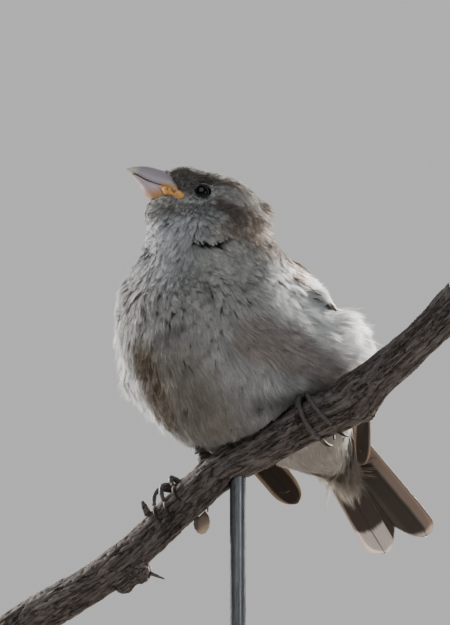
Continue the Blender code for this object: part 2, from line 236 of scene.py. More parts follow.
@dataclass(frozen=True)
class Axes:
    """A place and a heading, with points in mm ahead, to the left and up from it."""

    origin: Triple
    turn: Triple

    @property
    def basis(self) -> Array:
        """The heading's own ways.

        Returns:
            Rows ahead, left and up.
        """
        yaw, pitch, roll = (math.radians(angle) for angle in self.turn)
        level = np.array((-math.sin(yaw), -math.cos(yaw), 0.0))
        ahead = level * math.cos(pitch) + np.array((0, 0, math.sin(pitch)))
        left = np.array((math.cos(yaw), -math.sin(yaw), 0.0))
        up = np.cross(ahead, left)
        turned = left * math.cos(roll) + up * math.sin(roll)
        return np.array((ahead, turned, up * math.cos(roll) - left * math.sin(roll)))

    def local(self, points: Array) -> Array:
        """World points in mm as coordinates ahead, left and up."""
        return (points - np.array(self.origin)) @ self.basis.T

    def world(self, ahead: float, left: float, up: float) -> Array:
        """The world point in mm of a place on these axes."""
        return np.array(self.origin) + np.array((ahead, left, up)) @ self.basis

    def world_all(self, local: Array) -> Array:
        """World points in mm of many places on these axes."""
        return np.array(self.origin) + local @ self.basis

    def point(self, ahead: float, left: float, up: float) -> Vector:
        """The world point in metres of a place on these axes."""
        return Vector(self.world(ahead, left, up) * MM)


BODY = Axes((2.9, 9.2, 114.6), (42.0, 42.0, 15.0))
HEAD = Axes((-1.7, -5.8, 151.4), (86.0, 22.0, 2.0))
TAIL = Axes((20.5, 31.8, 107.8), (42.2, 41.0, 27.0))
RISE = unit(np.array(HEAD.origin) - np.array(BODY.origin))


def mirror(local: Array) -> Array:
    """Rows that turn places on the bird's left into places on each point's own side."""
    sides = np.where(local[:, 1] < 0, -1.0, 1.0)
    return np.stack((np.ones(len(local)), sides, np.ones(len(local))), axis=1)


def head_share(points: Array) -> Array:
    """How much of each point belongs to the head, from 0 on the body to 1."""
    return step((points - np.array(HEAD.origin)) @ RISE, -20.0, -11.0)


# ---------------------------------------------------------------- meshes


def new_object(name: str, data: bpy.types.ID) -> Object:
    """Makes an object at the origin and links it to the scene.

    Args:
        name: Its name.
        data: The mesh, camera or lamp that it shows.

    Returns:
        The object.
    """
    made = bpy.data.objects.new(name, data)
    bpy.context.scene.collection.objects.link(made)
    return made


def from_bmesh(bm: BMesh, name: str, smooth: bool = True) -> Object:
    """Makes an object of a bmesh, its faces pointing out.

    Args:
        bm: The shape, which is freed.
        name: The object's name.
        smooth: Whether it is shaded smooth.

    Returns:
        The object.
    """
    bmesh.ops.recalc_face_normals(bm, faces=bm.faces)
    mesh = bpy.data.meshes.new(name)
    bm.to_mesh(mesh)
    bm.free()
    if smooth:
        mesh.shade_smooth()
    return new_object(name, mesh)


def settled(made: Object) -> None:
    """Replaces an object's mesh by what its modifiers make of it.

    Args:
        made: The object.
    """
    graph = bpy.context.evaluated_depsgraph_get()
    mesh = bpy.data.meshes.new_from_object(made.evaluated_get(graph))
    old = made.data
    made.modifiers.clear()
    made.data = mesh
    bpy.data.meshes.remove(old)


def soften(made: Object, rounds: int) -> None:
    """Adds a smoothing modifier of some rounds to an object."""
    modifier = made.modifiers.new("soften", "SMOOTH")
    modifier.factor, modifier.iterations = 0.5, rounds


def remesh(made: Object, voxel: float, smoothing: int) -> None:
    """Melts an object into one even skin.

    Args:
        made: The object.
        voxel: Size of the new faces in mm.
        smoothing: Rounds of smoothing after that.
    """
    melt = made.modifiers.new("melt", "REMESH")
    melt.mode = "VOXEL"
    melt.voxel_size = voxel * MM
    soften(made, smoothing)
    settled(made)
    made.data.shade_smooth()


def add_loft(bm: BMesh, rings: list[list[Vector]], capped: bool = True) -> None:
    """A skin over rings of points.

    Args:
        bm: Where it is added.
        rings: The rings, each with as many points.
        capped: Whether both ends are closed.
    """
    rows = [[bm.verts.new(point) for point in ring] for ring in rings]
    loops = [[bm.edges.new(pair) for pair in zip(row, row[1:] + row[:1])] for row in rows]
    for one, two in zip(loops, loops[1:]):
        bmesh.ops.bridge_loops(bm, edges=one + two)
    if capped:
        for row in (rows[0], rows[-1]):
            bm.faces.new(row)


def add_tube(bm: BMesh, points: list[Vector], radii: list[float], sides: int) -> None:
    """A tube through points with no twist along it.

    Args:
        bm: Where it is added.
        points: Its line in metres.
        radii: Its radius in mm at each point.
        sides: Points round each ring.
    """
    rings = []
    side = (points[1] - points[0]).orthogonal()
    for i, (point, radius) in enumerate(zip(points, radii)):
        before, after = points[max(i - 1, 0)], points[min(i + 1, len(points) - 1)]
        along = (after - before).normalized()
        side = (side - along * side.dot(along)).normalized()
        other = along.cross(side)
        turns = (math.tau * j / sides for j in range(sides))
        spokes = (side * math.cos(turn) + other * math.sin(turn) for turn in turns)
        rings.append([point + spoke * radius * MM for spoke in spokes])
    add_loft(bm, rings)


def node_copy(name: str, *nodes: str) -> Object:
    """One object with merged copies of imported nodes.

    Args:
        name: The object's name.
        nodes: The nodes to copy.

    Returns:
        The object.
    """
    bm = bmesh.new()
    for node in nodes:
        bm.from_mesh(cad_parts[node].data)
    bmesh.ops.remove_doubles(bm, verts=bm.verts, dist=0.01 * MM)
    return from_bmesh(bm, name)


def read_vectors(rows: bpy.types.bpy_prop_collection, key: str) -> Array:
    """Reads a vector from each of many rows.

    Args:
        rows: A mesh's vertices or normals.
        key: What each row calls its vector.

    Returns:
        The vectors.
    """
    flat = np.empty(len(rows) * 3, np.float32)
    rows.foreach_get(key, flat)
    return flat.reshape(-1, 3).astype(float)


def coordinates(mesh: Mesh) -> Array:
    """A mesh's vertices in mm."""
    return read_vectors(mesh.vertices, "co") / MM


def normals(mesh: Mesh) -> Array:
    """A mesh's vertex normals."""
    return read_vectors(mesh.vertex_normals, "vector")


def place(mesh: Mesh, points: Array) -> None:
    """Moves a mesh's vertices to points in mm."""
    mesh.vertices.foreach_set("co", (points * MM).astype(np.float32).ravel())
    mesh.update()


def paint(mesh: Mesh, colours: Array) -> None:
    """Stores a linear colour at each vertex, under the name that the finishes read.

    Args:
        mesh: The mesh.
        colours: A row of red, green and blue for each vertex.
    """
    layer = mesh.color_attributes.new("Tint", "FLOAT_COLOR", "POINT")
    full = np.ones((len(colours), 4), np.float32)
    full[:, :3] = np.clip(colours, 0, 1)
    layer.data.foreach_set("color", full.ravel())


def store(mesh: Mesh, name: str, vectors: Array) -> None:
    """Stores a vector at each vertex under a name."""
    layer = mesh.attributes.new(name, "FLOAT_VECTOR", "POINT")
    layer.data.foreach_set("vector", vectors.astype(np.float32).ravel())


def show(piece: Object, material: Material, replaced: tuple[str, ...] = ()) -> None:
    """Dresses a finished piece and puts it on the model.

    Args:
        piece: The piece.
        material: Its material.
        replaced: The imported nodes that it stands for.
    """
    piece.data.materials.clear()
    piece.data.materials.append(material)
    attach(piece, "root")
    if replaced:
        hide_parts(*replaced)
    piece.data.calc_loop_triangles()
    LOG.info("%s: %d triangles", piece.name, len(piece.data.loop_triangles))


# ---------------------------------------------------------------- shader groups


class Nodes:
    """A node tree being wired."""

    def __init__(self, tree: bpy.types.NodeTree) -> None:
        """Keeps the tree."""
        self.tree = tree

    def feed(self, node: Node, inputs: dict) -> None:
        """Gives a node its inputs.

        Args:
            node: The node.
            inputs: Sockets to link or values to set, by the input's name or number.
        """
        for key, value in inputs.items():
            if isinstance(value, Socket):
                self.tree.links.new(value, node.inputs[key])
            else:
                node.inputs[key].default_value = value

    def add(self, kind: str, inputs: dict | None = None, **settings: object) -> Node:
        """Adds a node.

        Args:
            kind: Its type, without ShaderNode in front.
            inputs: Values or sockets for its inputs, by name or number.
            settings: Properties to set.

        Returns:
            The node.
        """
        node = self.tree.nodes.new("ShaderNode" + kind)
        for key, value in settings.items():
            setattr(node, key, value)
        self.feed(node, inputs or {})
        return node

    def math(self, operation: str, *values: object, clamp: bool = False) -> Socket:
        """A Math node's result."""
        node = self.add("Math", dict(enumerate(values)), operation=operation, use_clamp=clamp)
        return node.outputs[0]

    def range(self, value: object, low: float, high: float, to: Pair = (0, 1)) -> Socket:
        """A soft Map Range of a value from low..high to another range."""
        ends = {"Value": value, "From Min": low, "From Max": high, "To Min": to[0], "To Max": to[1]}
        return self.add("MapRange", ends, interpolation_type="SMOOTHSTEP").outputs["Result"]

    def blend(self, share: object, one: object, two: object, how: str = "MIX") -> Socket:
        """Mixes two colours.

        Args:
            share: How much of the second colour there is.
            one: The first colour, plain or a socket.
            two: The second one.
            how: The way in which they mix.

        Returns:
            The mixed colour's socket.
        """
        node = self.add("Mix", {0: share}, data_type="RGBA", blend_type=how)
        for key, value in ((6, one), (7, two)):
            self.feed(node, {key: value if isinstance(value, Socket) else (*value[:3], 1)})
        return node.outputs[2]

    def darkened(self, colour: object, by: Triple) -> Socket:
        """A colour multiplied by another."""
        return self.blend(1.0, colour, by, "MULTIPLY")

    def scaled(self, colour: Socket, gain: Socket) -> Socket:
        """A colour made lighter or darker by a gain."""
        node = self.add("VectorMath", {0: colour, "Scale": gain}, operation="SCALE")
        return node.outputs[0]

    def speckle(
        self, where: object, scale: object, detail: float = 3.0, rough: float = 0.55
    ) -> Socket:
        """Noise from 0 to 1 at a scale."""
        inputs = {"Vector": where, "Scale": scale, "Detail": detail, "Roughness": rough}
        return self.add("TexNoise", inputs).outputs["Fac"]


def new_group(
    name: str, inputs: dict[str, object], outputs: dict[str, str]
) -> tuple[Nodes, bpy.types.NodeOutputs, Node]:
    """Starts a shader node group.

    Args:
        name: The group's name.
        inputs: Each input's name and default: a number, a colour, or None for a vector.
        outputs: Each output's name and kind: Float, Color or Vector.

    Returns:
        The group's wiring, what it is given, and the node that takes what it makes.
    """
    tree = bpy.data.node_groups.new(name, "ShaderNodeTree")
    for key, default in inputs.items():
        kind = "Float" if isinstance(default, (int, float)) else "Color"
        kind = "Vector" if default is None else kind
        socket = tree.interface.new_socket(key, in_out="INPUT", socket_type="NodeSocket" + kind)
        if default is not None:
            socket.default_value = default if kind == "Float" else (*default, 1)
    for key, kind in outputs.items():
        tree.interface.new_socket(key, in_out="OUTPUT", socket_type="NodeSocket" + kind)
    given = tree.nodes.new("NodeGroupInput")
    return Nodes(tree), given.outputs, tree.nodes.new("NodeGroupOutput")


class Groups:
    """The effects that several finishes share, each built once."""

    def __init__(self) -> None:
        """Builds every group."""
        self.mottle = self.build_mottle()
        self.vane = self.build_vane()
        self.pores = self.build_pores()

    @staticmethod
    def build_mottle() -> bpy.types.NodeTree:
        """Uneven lightness at two scales, as no natural surface is one flat colour.

        Returns:
            The group.
        """
        defaults = {"Vector": None, "Colour": (0.5, 0.5, 0.5), "Broad": 200.0, "Fine": 1500.0}
        wires, given, out = new_group(
            "mottle", defaults | {"Amount": 0.2}, {"Colour": "Color", "Mask": "Float"}
        )
        broad = wires.speckle(given["Vector"], given["Broad"], 3.0, 0.5)
        fine = wires.speckle(given["Vector"], given["Fine"], 2.0, 0.5)
        both = wires.math("ADD", broad, fine)
        swing = wires.math("MULTIPLY", wires.math("SUBTRACT", both, 1.0), given["Amount"])
        gain = wires.math("MULTIPLY_ADD", swing, 2.0, 1.0)
        colour = wires.scaled(given["Colour"], gain)
        wires.feed(out, {"Colour": colour, "Mask": wires.range(both, 0.7, 1.3)})
        return wires.tree

    @staticmethod
    def build_vane() -> bpy.types.NodeTree:
        """A flight feather's markings: dark middle, fringes, tip, shaft and slanted barbs.

        Returns:
            The group.
        """
        colours = {
            "Middle": (0.1, 0.07, 0.05),
            "Fringe": (0.5, 0.35, 0.22),
            "Tip": (0.5, 0.4, 0.3),
            "Shaft": (0.15, 0.1, 0.07),
        }
        sizes = {"Outer Width": 0.25, "Inner Width": 0.15, "Tip Length": 0.08}
        outputs = {"Colour": "Color", "Height": "Float"}
        wires, given, out = new_group("vane_markings", {"Vane": None} | colours | sizes, outputs)
        across, along, seed = wires.add("SeparateXYZ", {0: given["Vane"]}).outputs
        ragged = wires.speckle(given["Vane"], 14.0, 4.0, 0.7)
        reach = wires.math("ABSOLUTE", across)
        edge = wires.math("MULTIPLY_ADD", ragged, 0.2, wires.math("SUBTRACT", reach, 0.1))
        gap = wires.math("SUBTRACT", given["Outer Width"], given["Inner Width"])
        outer = wires.math("GREATER_THAN", across, 0.0)
        width = wires.math("MULTIPLY_ADD", outer, gap, given["Inner Width"])
        over = wires.math("ADD", edge, wires.math("SUBTRACT", width, 1.0))
        on_rim = wires.math("MULTIPLY", over, 6.0, clamp=True)
        slant = wires.math("MULTIPLY_ADD", wires.math("MULTIPLY", reach, reach), 0.03, along)
        stretched = {0: given["Vane"], 1: (26.0, 3.0, 1.0)}
        fine = wires.add("VectorMath", stretched, operation="MULTIPLY")
        jagged = wires.speckle(fine.outputs[0], 1.0, 2.0, 0.6)
        reached = wires.math("MULTIPLY_ADD", jagged, 0.05, wires.math("SUBTRACT", slant, 0.025))
        past = wires.math("ADD", reached, wires.math("SUBTRACT", given["Tip Length"], 1.0))
        on_tip = wires.math("MULTIPLY", past, 45.0, clamp=True)
        raked = wires.math("MULTIPLY_ADD", reach, -0.12, along)
        barbs = wires.math("SINE", wires.math("MULTIPLY", raked, 420.0))
        lines = wires.math("MULTIPLY_ADD", barbs, 0.06, 1.0)
        shade = wires.math("MULTIPLY_ADD", wires.math("SUBTRACT", seed, 0.5), 0.3, lines)
        colour = wires.blend(on_rim, given["Middle"], given["Fringe"])
        colour = wires.blend(on_tip, colour, given["Tip"])
        shaft = wires.range(reach, 0.07, 0.02)
        colour = wires.blend(wires.math("MULTIPLY", shaft, 0.7), colour, given["Shaft"])
        height = wires.math("MULTIPLY_ADD", shaft, 1.2, wires.math("MULTIPLY", barbs, 0.3))
        wires.feed(out, {"Colour": wires.scaled(colour, shade), "Height": height})
        return wires.tree

    @staticmethod
    def build_pores() -> bpy.types.NodeTree:
        """Fine cells with dark joints, for scutes, bark plates and pitted horn.

        Returns:
            The group.
        """
        wires, given, out = new_group(
            "pores",
            {"Vector": None, "Scale": 900.0, "Depth": 1.0},
            {"Mask": "Float", "Height": "Float"},
        )
        where = {"Vector": given["Vector"], "Scale": given["Scale"]}
        cells = wires.add("TexVoronoi", where, feature="DISTANCE_TO_EDGE")
        joint = wires.range(cells.outputs["Distance"], 0.0, 0.12)
        wires.feed(out, {"Mask": joint, "Height": wires.math("MULTIPLY", joint, given["Depth"])})
        return wires.tree


@dataclass(frozen=True)
class Finish:
    """What every finish has: its name and its gloss."""

    name: str
    roughness: float = 0.6

    def start(self) -> tuple[Material, Nodes, Node]:
        """Starts the material.

        Returns:
            The material, its wiring and its shader.
        """
        material = bpy.data.materials.new(self.name)
        material.use_nodes = True
        shader = material.node_tree.nodes["Principled BSDF"]
        wires = Nodes(material.node_tree)
        wires.feed(shader, {"Roughness": self.roughness})
        return material, wires, shader

    @staticmethod
    def place(wires: Nodes) -> Socket:
        """The object's own coordinates."""
        return wires.add("TexCoord").outputs["Object"]

    @staticmethod
    def stored(wires: Nodes, name: str, kind: str = "Color") -> Socket:
        """What the mesh keeps at each point under a name."""
        return wires.add("Attribute", attribute_name=name).outputs[kind]

    @staticmethod
    def mottled(
        wires: Nodes, groups: Groups, where: Socket, colour: object, grain: Triple
    ) -> tuple[Socket, Socket]:
        """Makes a colour uneven.

        Args:
            wires: The material's wiring.
            groups: The shared shader groups.
            where: The place's coordinates.
            colour: The colour, plain or a socket.
            grain: The broad scale, the fine scale and the amount.

        Returns:
            The uneven colour, and the unevenness alone.
        """
        sizes = dict(zip(("Broad", "Fine", "Amount"), grain))
        inputs = {"Vector": where, "Colour": colour} | sizes
        made = wires.add("Group", inputs, node_tree=groups.mottle)
        return made.outputs["Colour"], made.outputs["Mask"]

    @staticmethod
    def bump(wires: Nodes, shader: Node, height: Socket, strength: float, distance: float) -> None:
        """Raises the surface by a height.

        Args:
            wires: The material's wiring.
            shader: Its shader.
            height: The height, 0 to 1.
            strength: The bump's strength.
            distance: The height's scale in mm.
        """
        inputs = {"Strength": strength, "Distance": distance * MM, "Height": height}
        wires.feed(shader, {"Normal": wires.add("Bump", inputs).outputs[0]})

    @staticmethod
    def let_light_through(wires: Nodes, shader: Node, colour: Socket, share: float) -> None:
        """Makes a thin surface glow when light falls on its other side.

        Args:
            wires: The material's wiring.
            shader: Its shader.
            colour: The surface's colour.
            share: How much of the light goes through.
        """
        through = wires.add("BsdfTranslucent", {"Color": colour})
        both = wires.add("MixShader", {0: share, 1: shader.outputs[0], 2: through.outputs[0]})
        wires.feed(wires.tree.nodes["Material Output"], {"Surface": both.outputs[0]})


@dataclass(frozen=True)
class PlumageFinish(Finish):
    """Contour feathers and the skin under them, coloured by the markings at each point."""

    mottle: float = 0.16
    sheen: float = 0.25
    glow: float = 0.0
    broad: float = 260.0
    fine: float = 2200.0

    def make(self, groups: Groups) -> Material:
        """Builds the material.

        Args:
            groups: The shared shader groups.

        Returns:
            The material.
        """
        material, wires, shader = self.start()
        tint, grain = self.stored(wires, "Tint"), (self.broad, self.fine, self.mottle)
        colour, _ = self.mottled(wires, groups, self.place(wires), tint, grain)
        sheen = {"Sheen Weight": self.sheen, "Sheen Roughness": 0.5, "Specular IOR Level": 0.2}
        wires.feed(shader, {"Base Color": colour} | sheen)
        if self.glow:
            self.let_light_through(wires, shader, colour, self.glow)
        return material


@dataclass(frozen=True)
class VaneFinish(Finish):
    """A row of flight feathers or coverts."""

    middle: Triple = (84, 70, 60)
    fringe: Triple = (186, 150, 112)
    tip: Triple = (200, 176, 144)
    shaft: Triple = (60, 46, 38)
    outer_width: float = 0.25
    inner_width: float = 0.12
    tip_length: float = 0.06
    glow: float = 0.25

    def make(self, groups: Groups) -> Material:
        """Builds the material.

        Args:
            groups: The shared shader groups.

        Returns:
            The material.
        """
        material, wires, shader = self.start()
        parts = {"Middle": self.middle, "Fringe": self.fringe, "Tip": self.tip, "Shaft": self.shaft}
        inputs = {key: (*srgb(*colour), 1) for key, colour in parts.items()} | {
            "Vane": self.stored(wires, "Vane", "Vector"),
            "Outer Width": self.outer_width,
            "Inner Width": self.inner_width,
            "Tip Length": self.tip_length,
        }
        marks = wires.add("Group", inputs, node_tree=groups.vane).outputs
        gloss = {"Sheen Weight": 0.1, "Specular IOR Level": 0.3}
        wires.feed(shader, {"Base Color": marks["Colour"]} | gloss)
        self.bump(wires, shader, marks["Height"], 0.4, 0.05)
        self.let_light_through(wires, shader, marks["Colour"], self.glow)
        return material


@dataclass(frozen=True)
class HornFinish(Finish):
    """Bill, gape, lids, toes and claws: tinted by place, with fine lines or cells."""

    broad: float = 300.0
    fine: float = 2500.0
    mottle: float = 0.15
    cells: float = 0.0
    cell_depth: float = 0.05
    coat: float = 0.0
    shine: float = 0.5
    joint: Triple = (0.35, 0.33, 0.32)

    def make(self, groups: Groups) -> Material:
        """Builds the material.

        Args:
            groups: The shared shader groups.

        Returns:
            The material.
        """
        material, wires, shader = self.start()
        where = self.place(wires)
        tint, grain = self.stored(wires, "Tint"), (self.broad, self.fine, self.mottle)
        colour, uneven = self.mottled(wires, groups, where, tint, grain)
        height = uneven
        if self.cells:
            inputs = {"Vector": where, "Scale": self.cells}
            pores = wires.add("Group", inputs, node_tree=groups.pores).outputs
            colour = wires.blend(pores["Mask"], wires.darkened(colour, self.joint), colour)
            height = wires.math("MULTIPLY_ADD", height, 0.3, pores["Height"])
        gloss = wires.math("MULTIPLY_ADD", uneven, 0.16, self.roughness - 0.08)
        coat = {"Coat Weight": self.coat, "Coat Roughness": 0.2, "Specular IOR Level": self.shine}
        wires.feed(shader, {"Base Color": colour, "Roughness": gloss} | coat)
        self.bump(wires, shader, height, 0.6, self.cell_depth)
        return material


@dataclass(frozen=True)
class EyeFinish(Finish):
    """A wet eyeball: very dark brown iris, black pupil."""

    grain: Triple = (900.0, 4000.0, 0.3)

    def make(self, groups: Groups) -> Material:
        """Builds the material.

        Args:
            groups: The shared shader groups.

        Returns:
            The material.
        """
        material, wires, shader = self.start()
        tint = self.stored(wires, "Tint")
        colour, _ = self.mottled(wires, groups, self.place(wires), tint, self.grain)
        wet = {"Specular IOR Level": 0.2, "Coat Weight": 0.06, "Coat Roughness": 0.02}
        wires.feed(shader, {"Base Color": colour} | wet)
        return material


@dataclass(frozen=True)
class BarkFinish(Finish):
    """Rough dark bark with pale worn patches, its furrows darkened as grain and painted shade and
    its cracks along the branch as painted shade.
    """

    # darkening for the furrows: grain and painted shade
    furrow_grain_and_shade: Triple = (0.42, 0.39, 0.38)
    # darkening for the cracks: painted shade
    split: Triple = (0.3, 0.28, 0.27)
    dust: Triple = (150, 132, 122)
    stretch: float = 0.16

    def make(self, groups: Groups) -> Material:
        """Builds the material.

        Args:
            groups: The shared shader groups, which bark does without.

        Returns:
            The material.
        """
        material, wires, shader = self.start()
        where, tint = self.place(wires), self.stored(wires, "Tint")
        straight = self.stored(wires, "Straight", "Vector")
        turned = wires.add("Mapping", {"Vector": straight, "Scale": (self.stretch, 1.0, 1.0)})
        fibre = wires.speckle(turned.outputs[0], 1900.0, 6.0, 0.75)
        coarse = wires.speckle(turned.outputs[0], 420.0, 4.0, 0.6)
        patch = wires.speckle(where, 160.0, 4.0, 0.6)
        fleck = wires.speckle(where, 2600.0, 3.0, 0.7)
        # painted shade with grain: darker along the fine furrows
        dark = wires.darkened(tint, self.furrow_grain_and_shade)
        colour = wires.blend(wires.range(fibre, 0.3, 0.64), dark, tint)
        crack = wires.math("ABSOLUTE", wires.math("SUBTRACT", coarse, 0.5))
        # painted shade: darker along the cracks
        dark = wires.darkened(colour, self.split)
        colour = wires.blend(wires.range(crack, 0.0, 0.035), dark, colour)
        worn = wires.blend(1.0, colour, srgb(*self.dust), "SCREEN")
        on_patch, on_fleck = wires.range(patch, 0.48, 0.7), wires.range(fleck, 0.52, 0.66)
        share = wires.math("MULTIPLY", on_patch, on_fleck)
        colour = wires.blend(wires.math("MULTIPLY", share, 0.5), colour, worn)
        gloss = wires.range(fibre, 0.3, 0.7, (0.95, 0.7))
        inputs = {"Base Color": colour, "Roughness": gloss, "Specular IOR Level": 0.25}
        wires.feed(shader, inputs)
        rough = wires.math("MULTIPLY_ADD", fleck, 0.3, fibre)
        self.bump(wires, shader, wires.math("ADD", rough, wires.range(crack, 0.0, 0.04)), 0.8, 0.4)
        return material


@dataclass(frozen=True)
class TurnedFinish(Finish):
    """The stand's lacquered wood or brushed steel."""

    colour: Triple = (40, 36, 33)
    grain: Triple = (1.0, 1.0, 1.0)
    strength: float = 0.2
    metallic: float = 0.0
    coat: float = 0.0
    broad: float = 90.0
    fine: float = 700.0

    def make(self, groups: Groups) -> Material:
        """Builds the material.

        Args:
            groups: The shared shader groups.

        Returns:
            The material.
        """
        material, wires, shader = self.start()
        run = wires.add("Mapping", {"Vector": self.place(wires), "Scale": self.grain}).outputs[0]
        plain_colour, grain = (*srgb(*self.colour), 1), (self.broad, self.fine, self.strength)
        colour, uneven = self.mottled(wires, groups, run, plain_colour, grain)
        gloss = wires.math("MULTIPLY_ADD", uneven, 0.18, self.roughness - 0.09)
        metal = {"Metallic": self.metallic, "Coat Weight": self.coat}
        wires.feed(shader, {"Base Color": colour, "Roughness": gloss} | metal)
        self.bump(wires, shader, uneven, 0.15, 0.05)
        return material


# ---------------------------------------------------------------- markings


@dataclass(frozen=True)
class Parting:
    """A place where ruffled feathers part and turn aside; the gap is painted near black, as shade.
    """

    start: Triple
    end: Triple
    width: float
    depth: float

    def reach(self, local: Array) -> tuple[Array, Array]:
        """How near each point is to the parting, and the way away from it.

        Args:
            local: Points ahead, left and up on the body, in mm.

        Returns:
            Strength from 0 to 1, and unit vectors on the body's axes.
        """
        _, away = nearest(local, np.array(self.start), np.array(self.end))
        far = np.linalg.norm(away, axis=1)
        return step(far, self.width, self.width * 0.15), unit(away)


@dataclass(frozen=True)
class Markings:
    """The plumage's colours by place, the same for skin and coat."""

    crown: Triple = (116, 106, 93)
    lores: Triple = (114, 107, 98)
    over_eye: Triple = (94, 87, 79)
    brow: Triple = (192, 184, 177)
    stripe: Triple = (132, 120, 112)
    ear: Triple = (112, 98, 88)
    cheek: Triple = (158, 156, 151)
    crescent: Triple = (204, 200, 194)
    chin: Triple = (196, 189, 180)
    throat: Triple = (208, 208, 208)
    collar: Triple = (194, 190, 182)
    nape: Triple = (142, 124, 109)
    breast: Triple = (178, 174, 169)
    belly: Triple = (188, 187, 186)
    # painted shade: a darker, browner tone low on the belly, as if lit from above
    underside: Triple = (142, 131, 117)
    flank: Triple = (242, 241, 238)
    # the right flank's buff wash, darkened with painted shade where belly and flank meet
    buff: Triple = (98, 81, 56)
    shadow: Triple = (160, 148, 141)
    mantle: Triple = (144, 115, 89)
    rump: Triple = (150, 130, 108)
    vent: Triple = (176, 168, 156)
    down: Triple = (142, 140, 144)
    # painted shade: near black, laid into the partings
    crease: Triple = (30, 28, 32)
    partings: tuple[Parting, ...] = (
        Parting((31.5, -5.7, -9.5), (28.5, -6.3, -13.5), 1.6, 0.5),
        Parting((29.5, 11.0, -10.5), (26.0, 12.5, -13.5), 2.2, 0.4),
        Parting((22.5, -6.0, -19.5), (24.8, 4.0, -18.6), 2.2, 0.4),
        Parting((-1.0, 12.5, -22.5), (-8.0, 19.5, -15.0), 4.0, 0.55),
    )
    cracks: tuple[tuple[Triple, ...], ...] = (
        (
            (36.6, 11.2, -0.9), (35.9, 11.7, -1.2), (35.5, 12.6, -0.8),
            (34.4, 13.5, -0.9), (34.1, 14.1, -0.4), (33.0, 14.6, -0.7),
        ),
        ((37.2, 9.3, -1.3), (36.6, 10.2, -1.3), (36.6, 11.2, -0.9)),
        ((34.4, 13.9, -0.6), (34.2, 15.0, 0.4), (33.8, 15.6, 0.8), (33.9, 16.9, 2.1)),
    )
    crack_widths: Triple = (1.0, 0.5, 0.55)
    behind_cracks: float = 2.0

    def at(self, points: Array) -> Array:
        """The plumage's colour.

        Args:
            points: World points in mm.

        Returns:
            A linear colour for each.
        """
        share = head_share(points)
        high, low = share > 0, share < 1
        colour = np.zeros((len(points), 3))
        colour[low] = self.on_body(BODY.local(points[low])) * (1 - share[low])[:, None]
        colour[high] += self.on_head(HEAD.local(points[high])) * share[high][:, None]
        return colour

    @staticmethod
    def lay(colour: Array, over: Triple, share: Array) -> Array:
        """Lays a marking over the colours below it."""
        share = share[:, None]
        return colour * (1 - share) + np.array(srgb(*over)) * share

    @classmethod
    def layered(cls, colour: Array, *markings: tuple[Triple, Array]) -> Array:
        """Lays markings over the colours below them, one after the other.

        Args:
            colour: The colours at the bottom.
            markings: Each marking's colour and its strength at every point.

        Returns:
            The colours with all the markings.
        """
        for over, share in markings:
            colour = cls.lay(colour, over, share)
        return colour

    def crack_gap(self, points: Array, ways: Array) -> tuple[Array, Array]:
        """How the neck's cracks lie to feathers, seen from the front.

        Args:
            points: The feathers' roots in mm.
            ways: From each root to the feather's tip, in mm.

        Returns:
            The root's distance from the nearest crack, and how far along the feather a crack
            crosses it, 1 where none does.
        """
        none = 99.0
        far, share = np.full(len(points), none), np.ones(len(points))
        p, d = points[:, ::2], ways[:, ::2]
        for line, width in zip(self.cracks, self.crack_widths):
            corners = BODY.world_all(np.array(line))[:, ::2]
            for a, b in zip(corners, corners[1:]):
                e = b - a
                far = np.minimum(far, np.linalg.norm(nearest(p, a, b)[1], axis=1) / width)
                turn = d[:, 0] * e[1] - d[:, 1] * e[0]
                turn = np.where(np.abs(turn) < 1e-9, 1e-9, turn)
                away = a - p
                on_way = (away[:, 0] * e[1] - away[:, 1] * e[0]) / turn
                on_line = (away[:, 0] * d[:, 1] - away[:, 1] * d[:, 0]) / turn
                hit = (on_way > 0) & (on_way < 1) & (on_line > -0.05) & (on_line < 1.05)
                share = np.where(hit, np.minimum(share, on_way + 0.14 * (1 - width)), share)
        behind = points[:, 1] > self.behind_cracks
        return np.where(behind, none, far), np.where(behind, 1.0, share)

    def on_head(self, local: Array) -> Array:
        """Colours of points given on the head's axes.

        Args:
            local: The points in mm.

        Returns:
            Their linear colours.
        """
        a, l, u = local.T
        stripe_line = ((2.0, -1.0), (-3.0, -2.0), (-8.5, -3.4))
        ear_line = ((-0.8, -1.8), (-4.0, -2.2), (-7.6, -3.6))
        brow_line = ((1.6, 1.2), (-2.0, 1.5), (-7.0, 1.6), (-11.5, 1.6))
        under_eye = ((7.4, -4.0), (5.4, -3.5), (3.0, -2.6), (1.4, -1.9))
        return self.layered(
            plain(self.cheek, len(a)),
            (self.collar, step(u, -6.5, -10) * step(a, 2, -3)),
            (self.nape, step(a + 0.35 * u, -3, -9) * step(u, -12, -5)),
            (self.crown, step(u + 0.1 * a, 1.8, 3.6)),
            (self.throat, step(u + 0.3 * a, -4.0, -8.5) * step(a, -4, 9)),
            (self.lores, spot(a, u, (9.4, 0.4), (6.0, 4.0)) * 0.9),
            (self.chin, spot(a, u, (12.0, -5.6), (4.5, 2.2)) * 0.8),
            (self.over_eye, spot(a, u, (4.6, 2.9), (4.0, 1.6)) * 0.7),
            (self.stripe, band(a, u, stripe_line, 2.6) * 0.8),
            (self.ear, band(a, u, ear_line, 2.5) * 0.9),
            (self.brow, band(a, u, brow_line, 2.8) * step(np.abs(l), 1.5, 4.5) * 0.55),
            (self.crescent, band(a, u, under_eye, 1.0) * 0.8),
            (self.crescent, spot(a, u, (1.7, 0.5), (1.1, 0.9)) * 0.9),
        )

